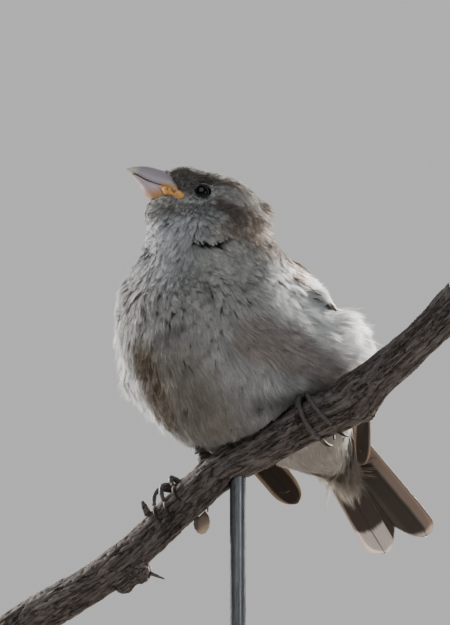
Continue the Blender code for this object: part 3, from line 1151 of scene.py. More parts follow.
    def on_body(self, local: Array) -> Array:
        """Colours of points given on the body's axes.

        Args:
            local: The points in mm.

        Returns:
            Their linear colours.
        """
        a, l, u = local.T
        buff_and_shade_line = ((19.5, -9.8), (12.2, -11.2), (5.9, -12.8), (1.0, -14.6))
        shadow_line = ((15.0, 17.5), (5.0, 23.5), (-3.0, 26.5), (-9.0, 26.0))
        rise = np.interp(-a, (17, 28, 38, 46), (2.5, 6.5, 8, 10.5))
        lift = 4 * step(a, 16, 30)
        return self.layered(
            plain(self.belly, len(a)),
            (self.breast, step(a, 6, 24) * 0.9),
            # painted shade: the underside darkens towards the bottom, away from the light above
            (self.underside, step(u, -17, -27) * step(l, 14, 2) * 0.85),
            (self.flank, step(l, 20, 26) * step(a, -24, -10)),
            (self.flank, step(-l, 15, 21) * 0.7),
            # a buff band low on the right flank, partly its own colour and partly painted shade
            (self.buff, band(a, l, buff_and_shade_line, 6.2) * step(u, -11, -17) * 0.9),
            (self.shadow, band(a, l, shadow_line, 6.0) * step(u, -4.5, -8.5) * 0.85),
            (self.vent, step(a, -20, -32)),
            (self.mantle, step(u - rise, 5 + lift, 9 + lift) * step(np.abs(l), 27, 17)),
            (self.rump, step(a, -14, -24) * step(u - rise, 1.5, 4.5)),
        )

    def parting_at(self, points: Array) -> tuple[Array, Array]:
        """How strongly feathers part at world points, and the world way they turn.

        Args:
            points: World points in mm.

        Returns:
            Strengths and world vectors.
        """
        local = BODY.local(points)
        strength = np.zeros(len(points))
        turn = np.zeros((len(points), 3))
        for parting in self.partings:
            near, away = parting.reach(local)
            strength = np.maximum(strength, near * parting.depth)
            turn += away * (near * parting.depth)[:, None]
        return strength, turn @ BODY.basis


# ---------------------------------------------------------------- skin and coat


@dataclass
class Skin:
    """One skin under head, neck and trunk, inside the solids by the coat's depth."""

    markings: Markings
    voxel: float = 0.8
    smoothing: int = 5
    swell: float = 0.3
    face_depth: float = 0.5
    crown_depth: float = 0.9
    cheek_depth: float = 1.0
    throat_depth: float = 1.8
    front_depth: float = 3.0
    back_depth: float = 1.6
    vent_depth: float = 1.2
    eye_room: float = 0.7
    eye_reach: float = 4.4
    face_start: float = 8.0
    face_floor: float = -7.5
    bill_core: float = 0.93
    socket_reach: float = 4.6
    ray: float = 7.0
    solids: tuple[str, ...] = (
        "head", "neck", "trunk", "eye_left", "eye_right", "gape_left", "gape_right",
    )
    made: Object | None = None
    shell: BVHTree | None = None
    shell_ways: Array | None = None
    wings: BVHTree | None = None

    def depth(self, points: Array) -> Array:
        """How deep the skin lies under the coat's tips.

        Args:
            points: World points in mm.

        Returns:
            The depth at each, in mm.
        """
        a, _, u = HEAD.local(points).T
        head = self.cheek_depth + (self.crown_depth - self.cheek_depth) * step(u, 0, 4)
        head = head + (self.throat_depth - head) * step(u, -6, -11)
        head = head + (self.face_depth - head) * step(a, 3, 8) * step(u, -9, -5)
        a, _, u = BODY.local(points).T
        body = self.front_depth + (self.back_depth - self.front_depth) * step(u, 4, 12)
        body = body + (self.vent_depth - body) * step(a, -24, -38)
        share = head_share(points)
        return body * (1 - share) + head * share

    def melted(self, name: str, *nodes: str) -> Object:
        """The given solids melted into one closed shape just inside their outside.

        Args:
            name: The shape's name.
            nodes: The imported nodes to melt.

        Returns:
            The shape.
        """
        made = node_copy(name, *nodes)
        swell = made.modifiers.new("close_the_joints", "DISPLACE")
        swell.strength, swell.mid_level = self.swell * MM, 0.0
        remesh(made, self.voxel, self.smoothing)
        place(made.data, coordinates(made.data) - normals(made.data) * self.swell * 0.7)
        return made

    def build(self) -> Object:
        """Melts the three solids into one skin and sinks it under the coat.

        Returns:
            The skin, coloured and unwrapped.
        """
        self.keep_shell()
        made = self.melted("skin", *self.solids)
        points = coordinates(made.data)
        place(made.data, points - normals(made.data) * self.depth(points)[:, None])
        soften(made, 4)
        settled(made)
        self.split_face(made)
        self.shape_face(made)
        made.data.shade_smooth()
        points = coordinates(made.data)
        parting_shade, _ = self.markings.parting_at(points)
        cracked, _ = self.markings.crack_gap(points, np.zeros((len(points), 3)))
        # Painted shade: the skin is the markings darkened and mixed with the down's grey, darker
        # still in partings and cracks, as it shows only in shaded gaps.
        colours = self.markings.at(points) * 0.55 + np.array(srgb(*self.markings.down)) * 0.25
        dark = np.maximum(0.7 * parting_shade, 0.94 * step(cracked, 1.6, 0.9))
        paint(made.data, colours * (1 - dark)[:, None])
        self.unwrap(made)
        self.made = made
        return made

    def split_face(self, made: Object) -> None:
        """Gives the skin round the eyes and the bill finer faces.

        Args:
            made: The skin.
        """
        bm = bmesh.new()
        bm.from_mesh(made.data)
        for _ in range(2):
            edges = []
            for edge in bm.edges:
                middle = np.array((edge.verts[0].co + edge.verts[1].co) / 2)[None] / MM
                local = HEAD.local(middle)
                by_eye = Eye.gap(local)[0] < self.eye_reach
                if head_share(middle)[0] > 0.5 and (by_eye or local[0, 0] > self.face_start):
                    edges.append(edge)
            bmesh.ops.subdivide_edges(bm, edges=edges, cuts=1, use_grid_fill=True)
        bmesh.ops.triangulate(bm, faces=[f for f in bm.faces if len(f.verts) > 4])
        bm.to_mesh(made.data)
        bm.free()

    def shape_face(self, made: Object) -> None:
        """Wraps the skin round the eyeballs and tucks it in behind the bill's feather line.

        Args:
            made: The skin.
        """
        points = coordinates(made.data)
        local = HEAD.local(points)
        on_head = head_share(points) > 0.5
        front = on_head & (local[:, 2] > self.face_floor)
        local = np.where(on_head[:, None], Eye.dished(local, 0.0), local)
        tuck = step(local[:, 0] - Bill.border(local[:, 2]), -1.0, 0.2) * front
        local = local + (Bill.pushed(local, self.bill_core) - local) * tuck[:, None]
        local = Bill.under_gape(local)
        centre = np.array(Eye.centre) * mirror(local)
        way = local - centre
        far = np.linalg.norm(way, axis=1)
        ring = Eye.ring(local)
        snug = Eye.radius + 0.08
        wrapped = snug + (far - snug) * step(ring, 1.35, 2.1)
        wrapped = np.where(ring < 1.04, Eye.radius - 0.5, wrapped)
        outer = np.abs(local[:, 1]) > np.abs(centre[:, 1]) + 0.5
        close = front & (far < self.socket_reach) & outer
        local = np.where(close[:, None], centre + unit(way) * wrapped[:, None], local)
        place(made.data, HEAD.world_all(local))

    def keep_shell(self) -> None:
        """Keeps the coat's outer surface with its outward ways, and the wings' surface."""
        made = self.melted("shell", *self.solids, "tail")
        wings = node_copy("wing_shell", "wing_left", "wing_right")
        points = coordinates(made.data)
        dished = HEAD.world_all(Eye.dished(HEAD.local(points), self.eye_room))
        place(made.data, np.where((head_share(points) > 0.5)[:, None], dished, points))
        bpy.context.view_layer.update()
        graph = bpy.context.evaluated_depsgraph_get()
        self.shell = BVHTree.FromObject(made, graph)
        self.wings = BVHTree.FromObject(wings, graph)
        ways = normals(made.data)
        faces = made.data.polygons
        self.shell_ways = np.array([ways[list(face.vertices)].mean(axis=0) for face in faces])
        for piece in (made, wings):
            bpy.data.objects.remove(piece)

    def outside(self, points: Array) -> tuple[Array, Array]:
        """The coat's outer surface next to points.

        Args:
            points: Points in mm.

        Returns:
            The nearest points of that surface, and its outward ways there.
        """
        hits = [self.shell.find_nearest(Vector(p) * MM) for p in points.tolist()]
        near = np.array([tuple(hit[0]) for hit in hits]) / MM
        return near, unit(self.shell_ways[[hit[2] for hit in hits]])

    def over_wings(self, points: Array, ways: Array, gap: float, bare: bool = True) -> Array:
        """Lifts points that lie under a wing onto its outer side.

        Args:
            points: Points in mm.
            ways: The outward ways there.
            gap: How far over the wing they go, in mm.
            bare: Leaves the near wing's upper band in the open.

        Returns:
            The points.
        """
        moved = points.copy()
        a, l, u = BODY.local(points).T
        lifts = ~((l > 0) & (u > 3.2 + 0.5 * np.sin(1.9 * a)) & (a > 9.5) & bare)
        for i, (p, way) in enumerate(zip(points.tolist(), ways.tolist())):
            start = Vector(p) + Vector(way) * self.ray
            hit = self.wings.ray_cast(start * MM, -Vector(way), self.ray * MM)[0]
            if hit is not None and lifts[i]:
                moved[i] = np.array(hit) / MM + np.array(way) * gap
        return moved

    @staticmethod
    def unwrap(made: Object) -> None:
        """Unwraps the skin's own shape for the coat to be laid out on.

        Args:
            made: The skin.
        """
        bpy.ops.object.select_all(action="DESELECT")
        made.select_set(True)
        bpy.context.view_layer.objects.active = made
        made.data.uv_layers.new(name="OFBake")
        bpy.ops.object.mode_set(mode="EDIT")
        bpy.ops.mesh.select_all(action="SELECT")
        bpy.ops.uv.smart_project(angle_limit=math.radians(66), island_margin=0.004)
        bpy.ops.object.mode_set(mode="OBJECT")


@dataclass(frozen=True)
class Cut:
    """How the feathers of one tract are cut; lengths in mm.

    Attributes:
        spacing: Distance between roots.
        length: A feather's length.
        width: Half its width, as a share of its length.
        barbs: Its number of barbs.
        clumps: How many locks they gather in.
        hair: A barb's width.
        ruffle: How unevenly barbs stand off.
        tip: How light the tips are against the middle, as a share.
        sunk: How deep below the outline its tips may lie, as a share of the coat.
        fleck: How far single feathers differ in tone.
    """

    spacing: float
    length: float
    width: float
    barbs: int
    clumps: int
    hair: float
    ruffle: float
    tip: float
    sunk: float = 0.25
    fleck: float = 0.06


@dataclass(frozen=True)
class Plume:
    """The pattern of one feather: barbs on a shaft, before it is bent over the body."""

    barbs: int
    clumps: int
    seed: int

    def arrays(self) -> dict[str, Array]:
        """The feather's barbs, each a long diamond: a root, two points at its bend and a tip.

        Returns:
            For each of the four points of each barb: across (-1 to 1), along (0 to 1), side
            (-1, 0 or 1 at the bend), lift and tone.
        """
        rng = np.random.default_rng(self.seed)
        lock_tone, lock_lift = rng.normal(0, 1, self.clumps), rng.normal(0, 0.5, self.clumps)
        lock_end = rng.uniform(-0.1, 0.05, self.clumps)
        rows = []
        for i in range(self.barbs):
            x = -1 + 2 * (i + rng.uniform(0.1, 0.9)) / self.barbs
            k = min(int((x + 1) / 2 * self.clumps), self.clumps - 1)
            middle = -1 + 2 * (k + 0.5) / self.clumps
            start = rng.uniform(0.0, 0.5)
            end = 1 - 0.25 * abs(x) ** 1.7 - rng.uniform(0, 0.4) * rng.random() + lock_end[k]
            drift = rng.normal(0, 0.1) + 0.25 * (middle - x) + 0.06 * lock_lift[k]
            lift = 0.6 * lock_lift[k] + rng.normal(0, 0.35)
            lift += (rng.random() < 0.1) * rng.uniform(0.8, 2.6)
            tone = lock_tone[k] + rng.normal(0, 0.7)
            for t, side in ((0.0, 0), (0.56, -1), (0.56, 1), (1.0, 0)):
                y = mix(start, end, t)
                rows.append((x * (0.3 + 0.7 * y**0.7) + drift * t * t, y, side, lift * t * t, tone))
        return dict(zip(("across", "along", "side", "lift", "tone"), np.array(rows).T))


HEAD_TRACTS = (Tract.FACE, Tract.CROWN, Tract.THROAT)
WING_TRACTS = (Tract.FLANK_LEFT, Tract.FLANK_RIGHT, Tract.BREAST, Tract.MANTLE)


@dataclass
class Coat:
    """The contour feathers of head and body, thin and overlapping, in one piece per tract."""

    skin: Skin
    markings: Markings
    seed: int = 7
    patch: float = 0.003
    patterns: int = 12
    density: float = 7.0
    crowding: float = 2.5
    most_triangles: int = 196_000
    cuts: dict[Tract, Cut] = field(
        default_factory=lambda: {
            Tract.FACE: Cut(0.40, 1.7, 0.26, 14, 3, 0.11, 0.12, 0.40, 0.3, 0.26),
            Tract.CROWN: Cut(0.62, 3.4, 0.22, 28, 5, 0.11, 0.14, 0.26, 0.3, 0.17),
            Tract.THROAT: Cut(0.66, 4.8, 0.20, 34, 6, 0.11, 0.22, 0.18, 0.25, 0.09),
            Tract.BREAST: Cut(1.00, 9.5, 0.19, 76, 8, 0.13, 0.20, 0.08, 0.12, 0.08),
            Tract.BELLY: Cut(1.04, 10.5, 0.19, 80, 8, 0.13, 0.36, 0.08, 0.16, 0.08),
            Tract.FLANK_LEFT: Cut(1.02, 9.5, 0.17, 76, 9, 0.15, 0.36, 0.06, 0.2),
            Tract.FLANK_RIGHT: Cut(1.05, 9.0, 0.18, 70, 8, 0.14, 0.34, 0.06, 0.15),
            Tract.MANTLE: Cut(1.05, 7.0, 0.28, 60, 6, 0.14, 0.14, 0.14, 0.2),
            Tract.RUMP: Cut(1.05, 10.0, 0.19, 60, 7, 0.14, 0.22, 0.08, 0.25),
        }
    )

    def tract_of(self, points: Array) -> Array:
        """Sorts places into tracts.

        Args:
            points: World points in mm.

        Returns:
            The number of the tract that each lies in.
        """
        ahead, _, up = HEAD.local(points).T
        on_head = head_share(points) > 0.5
        a, l, u = BODY.local(points).T
        found = np.full(len(points), Tract.BELLY.value)
        for tract, inside in (
            (Tract.BREAST, a > 12),
            (Tract.FLANK_LEFT, (l > 14) & (u < 9)),
            (Tract.FLANK_RIGHT, (l < -14) & (u < 9)),
            (Tract.MANTLE, (u > 5) & (np.abs(l) < 20)),
            (Tract.RUMP, a < -20),
            (Tract.THROAT, on_head),
            (Tract.CROWN, on_head & (up > -9.5)),
            (Tract.FACE, on_head & (up > -6.5) & (ahead > 2.5)),
        ):
            found[inside] = tract.value
        return found

    def roots(self) -> dict[str, Array]:
        """Even random roots over the skin.

        Returns:
            Their points, normals, unwrap places and tracts.
        """
        mesh = self.skin.made.data
        mesh.calc_loop_triangles()
        count = len(mesh.loop_triangles)
        corners = np.empty(count * 3, np.int32)
        loops = np.empty(count * 3, np.int32)
        mesh.loop_triangles.foreach_get("vertices", corners)
        mesh.loop_triangles.foreach_get("loops", loops)
        uv = np.empty(len(mesh.loops) * 2, np.float32)
        mesh.uv_layers["OFBake"].data.foreach_get("uv", uv)
        uv = uv.reshape(-1, 2)[loops.reshape(-1, 3)]
        points, facing = coordinates(mesh), normals(mesh)
        corners = corners.reshape(-1, 3)
        tri = points[corners]
        area = np.linalg.norm(np.cross(tri[:, 1] - tri[:, 0], tri[:, 2] - tri[:, 0]), axis=1) / 2
        weight = area * (1 + self.crowding * head_share(tri.mean(axis=1)))
        rng = np.random.default_rng(self.seed)
        tries = int(weight.sum() * self.density)
        pick = rng.choice(count, tries, p=weight / weight.sum())
        share = rng.dirichlet((1, 1, 1), tries)
        found = np.einsum("nk,nkd->nd", share, tri[pick])
        outward = unit(np.einsum("nk,nkd->nd", share, facing[corners[pick]]))
        tract = self.tract_of(found)
        spacing = np.array([self.cuts[kind].spacing for kind in Tract])[tract]
        kept = self.thinned(found, spacing)
        kept = kept[self.allowed(found[kept], outward[kept])]
        share, pick = share[kept], pick[kept]
        return {
            "points": found[kept],
            "normals": outward[kept],
            "uv": np.einsum("nk,nkd->nd", share, uv[pick]),
            "tracts": tract[kept],
        }

    def allowed(self, points: Array, facing: Array) -> Array:
        """Finds the bare places: eyes, bill, gape, perch groove and under the wings.

        Args:
            points: Places on the skin in mm.
            facing: The skin's normals there.

        Returns:
            True where a feather may grow.
        """
        local = HEAD.local(points)
        bare = (Eye.ring(local) < Eye.edge) | (Bill.gape_gap(local) < -0.05)
        bare = bare | (local[:, 0] > Bill.border(local[:, 2]) + 0.6)
        grows = ~(((head_share(points) > 0.5) & bare) | (Perch.distance(points) < 1.0))
        reach = 5 * MM
        for i in np.nonzero(grows & (head_share(points) < 0.2))[0]:
            start, way = Vector(points[i]) * MM, Vector(facing[i])
            grows[i] = self.skin.wings.ray_cast(start, way, reach)[0] is None
        return grows

    @staticmethod
    def thinned(points: Array, spacing: Array) -> Array:
        """Picks points in turn, none nearer to an earlier one than its spacing.

        Args:
            points: Candidate points in mm.
            spacing: Each one's spacing in mm, no more than a cell of the search grid.

        Returns:
            Numbers of the points kept.
        """
        cell = 1.1
        grid: dict[tuple[int, int, int], list[int]] = {}
        keys = np.floor(points / cell).astype(int)
        kept = []
        around = [(x, y, z) for x in (-1, 0, 1) for y in (-1, 0, 1) for z in (-1, 0, 1)]
        rows = points.tolist()
        for n, ((i, j, k), gap) in enumerate(zip(keys.tolist(), spacing.tolist())):
            x, y, z = rows[n]
            limit = gap * gap
            if all(
                (rows[m][0] - x) ** 2 + (rows[m][1] - y) ** 2 + (rows[m][2] - z) ** 2 >= limit
                for di, dj, dk in around
                for m in grid.get((i + di, j + dj, k + dk), ())
            ):
                grid.setdefault((i, j, k), []).append(n)
                kept.append(n)
        return np.array(kept)

    def lie(self, points: Array, facing: Array, rng: Generator) -> Array:
        """The way that feathers point, along the skin.

        Args:
            points: Their roots in mm.
            facing: The skin's normals there.
            rng: Source of the small disorder.

        Returns:
            Unit vectors in the skin's plane.
        """
        a, l, u = BODY.local(points).T
        under = step(u, 8, -4)
        spread = np.where(l < 0, 0.75, 0.2 + 0.75 * step(l, 10, 22)) * np.clip(l / 24, -1, 1)
        body = -BODY.basis[0] + (spread * np.where(l < 0, under, 1))[:, None] * BODY.basis[1]
        body = body + (0.45 * under * step(l, 24, 12))[:, None] * np.array((0, 0, -1.0))
        body = body + (0.5 * step(l, 16, 26) * step(a, 10, -10))[:, None] * np.array((0, 0, 1.0))
        a, l, u = HEAD.local(points).T
        front = step(u, -3, -7) * step(a, 0, 8)
        drop = 0.1 + 0.35 * step(u, 0, -6) + 2.2 * front
        head = (-1 + 1.5 * front)[:, None] * HEAD.basis[0] - drop[:, None] * HEAD.basis[2]
        share = head_share(points)[:, None]
        way = unit(body) * (1 - share) + unit(head) * share
        _, turn = self.markings.parting_at(points)
        way = unit(way) + turn * 1.1
        a, _, u = BODY.local(points).T
        fluffy = (1 - share[:, 0]) * step(u, -14, -24)
        fluffy = fluffy * step(a, -18, -8)
        angle = wave(points, 0.13) * (0.5 + 0.4 * fluffy)
        angle = angle + wave(points, 0.4, (40, 0, 0)) * (0.14 + 0.4 * fluffy)
        angle = angle + rng.normal(0, 0.06, len(points))
        way = unit(way - facing * np.einsum("nd,nd->n", way, facing)[:, None])
        side_way = np.cross(way, facing)
        return unit(way * np.cos(angle)[:, None] + side_way * np.sin(angle)[:, None])

    def build(self) -> list[Object]:
        """Sets every feather out and joins them tract by tract.

        Returns:
            The coat's pieces.
        """
        found = self.roots()
        rng = np.random.default_rng(self.seed + 1)
        points, facing, tract = found["points"], found["normals"], found["tracts"]
        plan = {"points": points, "normals": facing, "way": self.lie(points, facing, rng)}
        plan |= {"depth": self.skin.depth(points + facing * 2.0), "uv": found["uv"]}
        pieces = []
        for kind in Tract:
            mine = np.nonzero(tract == kind.value)[0]
            most = math.ceil(len(mine) * self.cuts[kind].barbs * 2 / self.most_triangles)
            for part, rows in enumerate(np.array_split(mine, most)):
                name = f"coat_{kind.name.lower()}" + (f"_{part + 1}" if most > 1 else "")
                some = {key: values[rows] for key, values in plan.items()}
                pieces.append(self.feathers(name, kind, some, rng))
        return pieces

    def feathers(self, name: str, kind: Tract, plan: dict[str, Array], rng: Generator) -> Object:
        """One piece of coat.

        Args:
            name: The piece's name.
            kind: Its tract.
            plan: Roots, normals, ways, depths and unwrap places.
            rng: Source of disorder.

        Returns:
            The piece.
        """
        cut = self.cuts[kind]
        roots, out, way, depth = (plan[key] for key in ("points", "normals", "way", "depth"))
        count = len(roots)
        seeds = (31 * kind.value + i for i in range(self.patterns))
        plumes = [Plume(cut.barbs, cut.clumps, seed).arrays() for seed in seeds]
        which = rng.integers(0, len(plumes), count)
        flip = rng.choice((-1.0, 1.0), count)[:, None]
        x, y, side, lift, tone = (np.stack([p[key] for p in plumes])[which] for key in plumes[0])
        x = x * flip
        size = cut.length * np.clip(rng.normal(1, 0.12, count), 0.7, 1.35) * self.taper(roots, kind)
        crack, cut_at = self.markings.crack_gap(roots, way * size[:, None])
        over = rng.uniform(-0.1, 0.75, count)
        size = np.where(cut_at < 1, size * cut_at + over, size)
        height, share, rim = self.proud(roots, kind)
        proud = height * (rng.random(count) < share) * rng.uniform(0.4, 1.0, count)
        sunk = depth * (rng.uniform(0.0, cut.sunk, count) + 0.4 * rim) * (proud == 0) - proud
        middle, tip, tip_way = self.bent(kind, plan, size, sunk, proud)
        raised = ((cut_at == 1) & (crack < 3.0)) * step(crack, 3.0, 1.0)
        base = roots + out * (raised * depth * 0.8 - 0.2)[:, None]
        bend = (2 * middle - (base + tip) / 2)[:, None]
        t = y[..., None]
        line = base[:, None] * (1 - t) ** 2 + bend * 2 * t * (1 - t) + tip[:, None] * t * t
        up = unit(out[:, None] * (1 - t) + tip_way[:, None] * t)
        across = unit(np.cross(way, out))[:, None]
        reach = x * (size * cut.width)[:, None] + side * cut.hair / 2
        rise = lift * cut.ruffle * self.fluff(roots, kind)[:, None] - (reach * reach) / 45
        verts = line + across * reach[..., None] + up * rise[..., None]
        roll = rng.normal(0, 0.1, count)[:, None] + 0.14 * x + 0.17 * tone
        tilt = rng.normal(0, 0.07, count)[:, None] - 0.1
        shading = unit(up + across * roll[..., None] + way[:, None] * tilt[..., None])
        flat = verts.reshape(-1, 3)
        if kind in WING_TRACTS:
            ways = np.broadcast_to(up, verts.shape).reshape(-1, 3)
            flat = self.skin.over_wings(flat, ways, 0.45, kind != Tract.MANTLE)
        flat = self.kept_clear(flat, np.repeat(roots, x.shape[1], axis=0))
        colours = self.colours(kind, roots, flat, (x, y, tone), rng).reshape(count, -1, 3)
        # painted shade: near the neck's cracks the roots of raised feathers are darkened almost to
        # black
        behind = step(y, 0.2, 0.05) * (raised * step(crack, 1.5, 0.6))[:, None] * 0.95
        colours = (colours * (1 - behind)[..., None]).reshape(-1, 3)
        mesh = self.joined(name, flat, count * cut.barbs)
        store(mesh, "custom_normal", shading)
        paint(mesh, colours)
        self.lay_out(mesh, plan["uv"], x, y)
        return new_object(name, mesh)

    def bent(
        self, kind: Tract, plan: dict[str, Array], size: Array, sunk: Array, proud: Array
    ) -> tuple[Array, Array, Array]:
        """Lays feathers along the coat's outer surface.

        Args:
            kind: Their tract.
            plan: Roots, normals, ways and depths.
            size: Lengths in mm.
            sunk: How deep under the surface each tip lies, in mm.
            proud: How far some tips stand out of it, in mm.

        Returns:
            Their middles and tips in mm, and the outward ways at the tips.
        """
        roots, out, way, depth = (plan[key] for key in ("points", "normals", "way", "depth"))
        ahead = roots + way * size[:, None] + out * depth[:, None]
        half = roots + way * (size * 0.5)[:, None] + out * depth[:, None]
        tip, tip_way = self.skin.outside(ahead)
        middle, middle_way = self.skin.outside(half)
        turned = (np.einsum("nd,nd->n", tip_way, out) < 0.25)[:, None]
        tip_way = np.where(turned, out, tip_way)
        tip = np.where(turned, ahead - out * (0.5 * depth)[:, None], tip)
        tip = tip - tip_way * sunk[:, None]
        middle = middle - middle_way * (sunk + proud * 0.6 + 0.14 * depth)[:, None]
        if kind in WING_TRACTS:
            bare = kind != Tract.MANTLE
            tip = self.skin.over_wings(tip, tip_way, 1.0, bare)
            middle = self.skin.over_wings(middle, middle_way, 0.7, bare)
        return middle, tip, tip_way

    @staticmethod
    def taper(points: Array, kind: Tract) -> Array:
        """Shortens feathers where the tract gives way to bare parts or smaller feathers.

        Args:
            points: Feather roots in mm.
            kind: Their tract.

        Returns:
            The share of the full length at each root.
        """
        local = HEAD.local(points)
        a = local[:, 0]
        if kind is Tract.FACE:
            return 0.55 + 0.45 * step(Eye.ring(local), 1.2, 2.6)
        if kind is Tract.CROWN:
            return (0.7 + 0.3 * step(a, 10, 2)) * (1 + 0.35 * step(a, -8, -12))
        if kind is Tract.THROAT:
            return 0.6 + 0.4 * step(a, 13, 4)
        away = (points - np.array(HEAD.origin)) @ RISE
        near = step(Perch.distance(points), 7, 2)
        vent = step(BODY.local(points)[:, 0], -30, -40) * 0.45
        return (0.7 + 0.3 * step(away, -18, -28)) * (1 - 0.35 * near) * (1 + vent)

    @staticmethod
    def proud(points: Array, kind: Tract) -> tuple[Array, Array, Array]:
        """How single feathers stand out of the coat on flank edges, throat and nape.

        Args:
            points: Feather roots in mm.
            kind: Their tract.

        Returns:
            How far in mm tips may stand out, the share of feathers that do, and how far the
            others lie back, as a share of the coat's depth.
        """
        if kind in HEAD_TRACTS:
            a, _, u = HEAD.local(points).T
            nape = step(a, -5, -9) * step(u, -4, 0)
            throat = step(u, -8, -12)
            return 3.0 * nape + 1.2 * throat, 0.06 + 0.34 * nape, 0.3 * throat + 0.2 * nape
        _, l, u = BODY.local(points).T
        near, far = step(l, 20, 25) * step(np.abs(u), 18, 9), step(-l, 14, 20)
        return 0.2 + 2.1 * near + 1.0 * far, 0.05 + 0.04 * near + 0.06 * far, near + 0.5 * far

    @staticmethod
    def fluff(points: Array, kind: Tract) -> Array:
        """How loosely barbs stand at each place: most on the flanks' edges and the nape.

        Args:
            points: Feather roots in mm.
            kind: Their tract.

        Returns:
            How many times the tract's ruffle each feather has.
        """
        if kind in HEAD_TRACTS:
            a, _, u = HEAD.local(points).T
            return 1 + 2.0 * step(a, -8, -12) * step(u, -7, -3)
        l = BODY.local(points)[:, 1]
        return 1 + 1.2 * step(l, 20, 26) + 0.8 * step(-l, 17, 23)

    def colours(
        self,
        kind: Tract,
        roots: Array,
        points: Array,
        pattern: tuple[Array, Array, Array],
        rng: Generator,
    ) -> Array:
        """Colours of every feather point: darker down at the root, the marking at the tip, and
        painted shade in the partings.

        Args:
            kind: The tract.
            roots: Feather roots in mm.
            points: All the points in mm.
            pattern: Places across and along the feather, and tones.
            rng: Source of tone.

        Returns:
            A colour for each point.
        """
        x, y, tone = pattern
        cut = self.cuts[kind]
        base = self.markings.at(points).reshape(*x.shape, 3)
        if kind in (Tract.FACE, Tract.THROAT):
            a, _, u = HEAD.local(roots).T
            streaked = spot(a, u, (10.5, -6.5), (5.5, 3.2)) * (rng.random(len(roots)) < 0.25)
            base = base * (1 - streaked[:, None, None] * np.array((0.4, 0.5, 0.6)))
        local = BODY.local(roots)
        streak = wave(local * (0.1, 0.42, 0.42), 1.0)
        blotch = wave(roots, 0.3, (0, 9, 0))
        shade = 1 + rng.normal(0, cut.fleck, len(roots)) + 0.22 * streak + 0.10 * blotch
        gain = shade[:, None] * (1 + 0.09 * tone) * (1 + cut.tip * (step(y, 0.45, 1.0) - 0.55))
        down = np.array(srgb(*self.markings.down))
        root = step(y, 0.6, 0.1)[..., None] * 0.3
        colours = base * np.maximum(gain, 0.3)[..., None] * (1 - root) + down * root
        if kind is Tract.MANTLE:
            l, u = local[:, 1], local[:, 2]
            dark = (np.abs(np.sin(l * 0.75)) > 0.62) & (u > 6) & (np.abs(l) < 17)
            middle = step(np.abs(x), 0.75, 0.3) * dark[:, None]
            colours = colours * (1 - 0.75 * middle)[..., None]
        colours = colours.reshape(-1, 3)
        # painted shade: feather points in a parting are darkened towards near black
        parting_shade, _ = self.markings.parting_at(points)
        return Markings.lay(colours, self.markings.crease, parting_shade)

    @staticmethod
    def kept_clear(points: Array, roots: Array) -> Array:
        """Moves feather points off the perch, the bill and the eyes' openings.

        Args:
            points: Feather points in mm.
            roots: Their feathers' roots.

        Returns:
            The points, moved where they must be.
        """
        moved = points.copy()
        spare = 0.4
        close = np.nonzero(Perch.distance_fast(points) < 3.0)[0]
        if len(close):
            away, far, radius = Perch.away(points[close])
            near = far < radius + spare
            moved[close[near]] += away[near] * (radius[near] + spare - far[near])[:, None]
        head = np.nonzero(head_share(roots) > 0.5)[0]
        if len(head):
            local = Bill.pushed(Eye.pushed(HEAD.local(moved[head])))
            moved[head] = HEAD.world_all(local)
        return moved

    @staticmethod
    def corners(strips: int) -> Array:
        """The points at the corners of every barb's two triangles."""
        return ((np.arange(strips) * 4)[:, None] + np.array((0, 2, 1, 1, 2, 3))).ravel()

    @staticmethod
    def joined(name: str, points: Array, strips: int) -> Mesh:
        """Joins the barbs of many feathers into one mesh.

        Args:
            name: The mesh's name.
            points: All the points in mm, four to a barb.
            strips: Number of barbs.

        Returns:
            The mesh, with two triangles for each barb.
        """
        loops = Coat.corners(strips)
        mesh = bpy.data.meshes.new(name)
        mesh.vertices.add(len(points))
        mesh.loops.add(len(loops))
        mesh.polygons.add(strips * 2)
        mesh.loops.foreach_set("vertex_index", loops.astype(np.int32))
        mesh.polygons.foreach_set("loop_start", (np.arange(strips * 2) * 3).astype(np.int32))
        place(mesh, points)
        mesh.update(calc_edges=True)
        return mesh

    def lay_out(self, mesh: Mesh, uv: Array, x: Array, y: Array) -> None:
        """Gives each feather a small patch at its root's place on the skin's unwrap.

        Args:
            mesh: The coat piece.
            uv: The roots' places.
            x: Places across each feather.
            y: Places along it.
        """
        spread = np.clip(np.stack((x * 0.5, y - 0.5), axis=-1), -0.5, 0.5)
        points = (uv[:, None] + spread * self.patch).reshape(-1, 2)
        layer = mesh.uv_layers.new(name="OFBake")
        corners = points[self.corners(x.size // 4)]
        layer.data.foreach_set("uv", corners.astype(np.float32).ravel())


# ---------------------------------------------------------------- wings and tail


@dataclass(frozen=True)
class Quill:
    """One flight feather or covert: where its shaft starts and ends on its sheet, and its size."""

    start: Pair
    end: Pair
    width: float
    layer: float
    bow: float = 0.0
    blunt: float = 0.75


@dataclass(frozen=True)
class QuillRow:
    """A row of like feathers with one finish."""

    name: str
    quills: tuple[Quill, ...]
    finish: VaneFinish


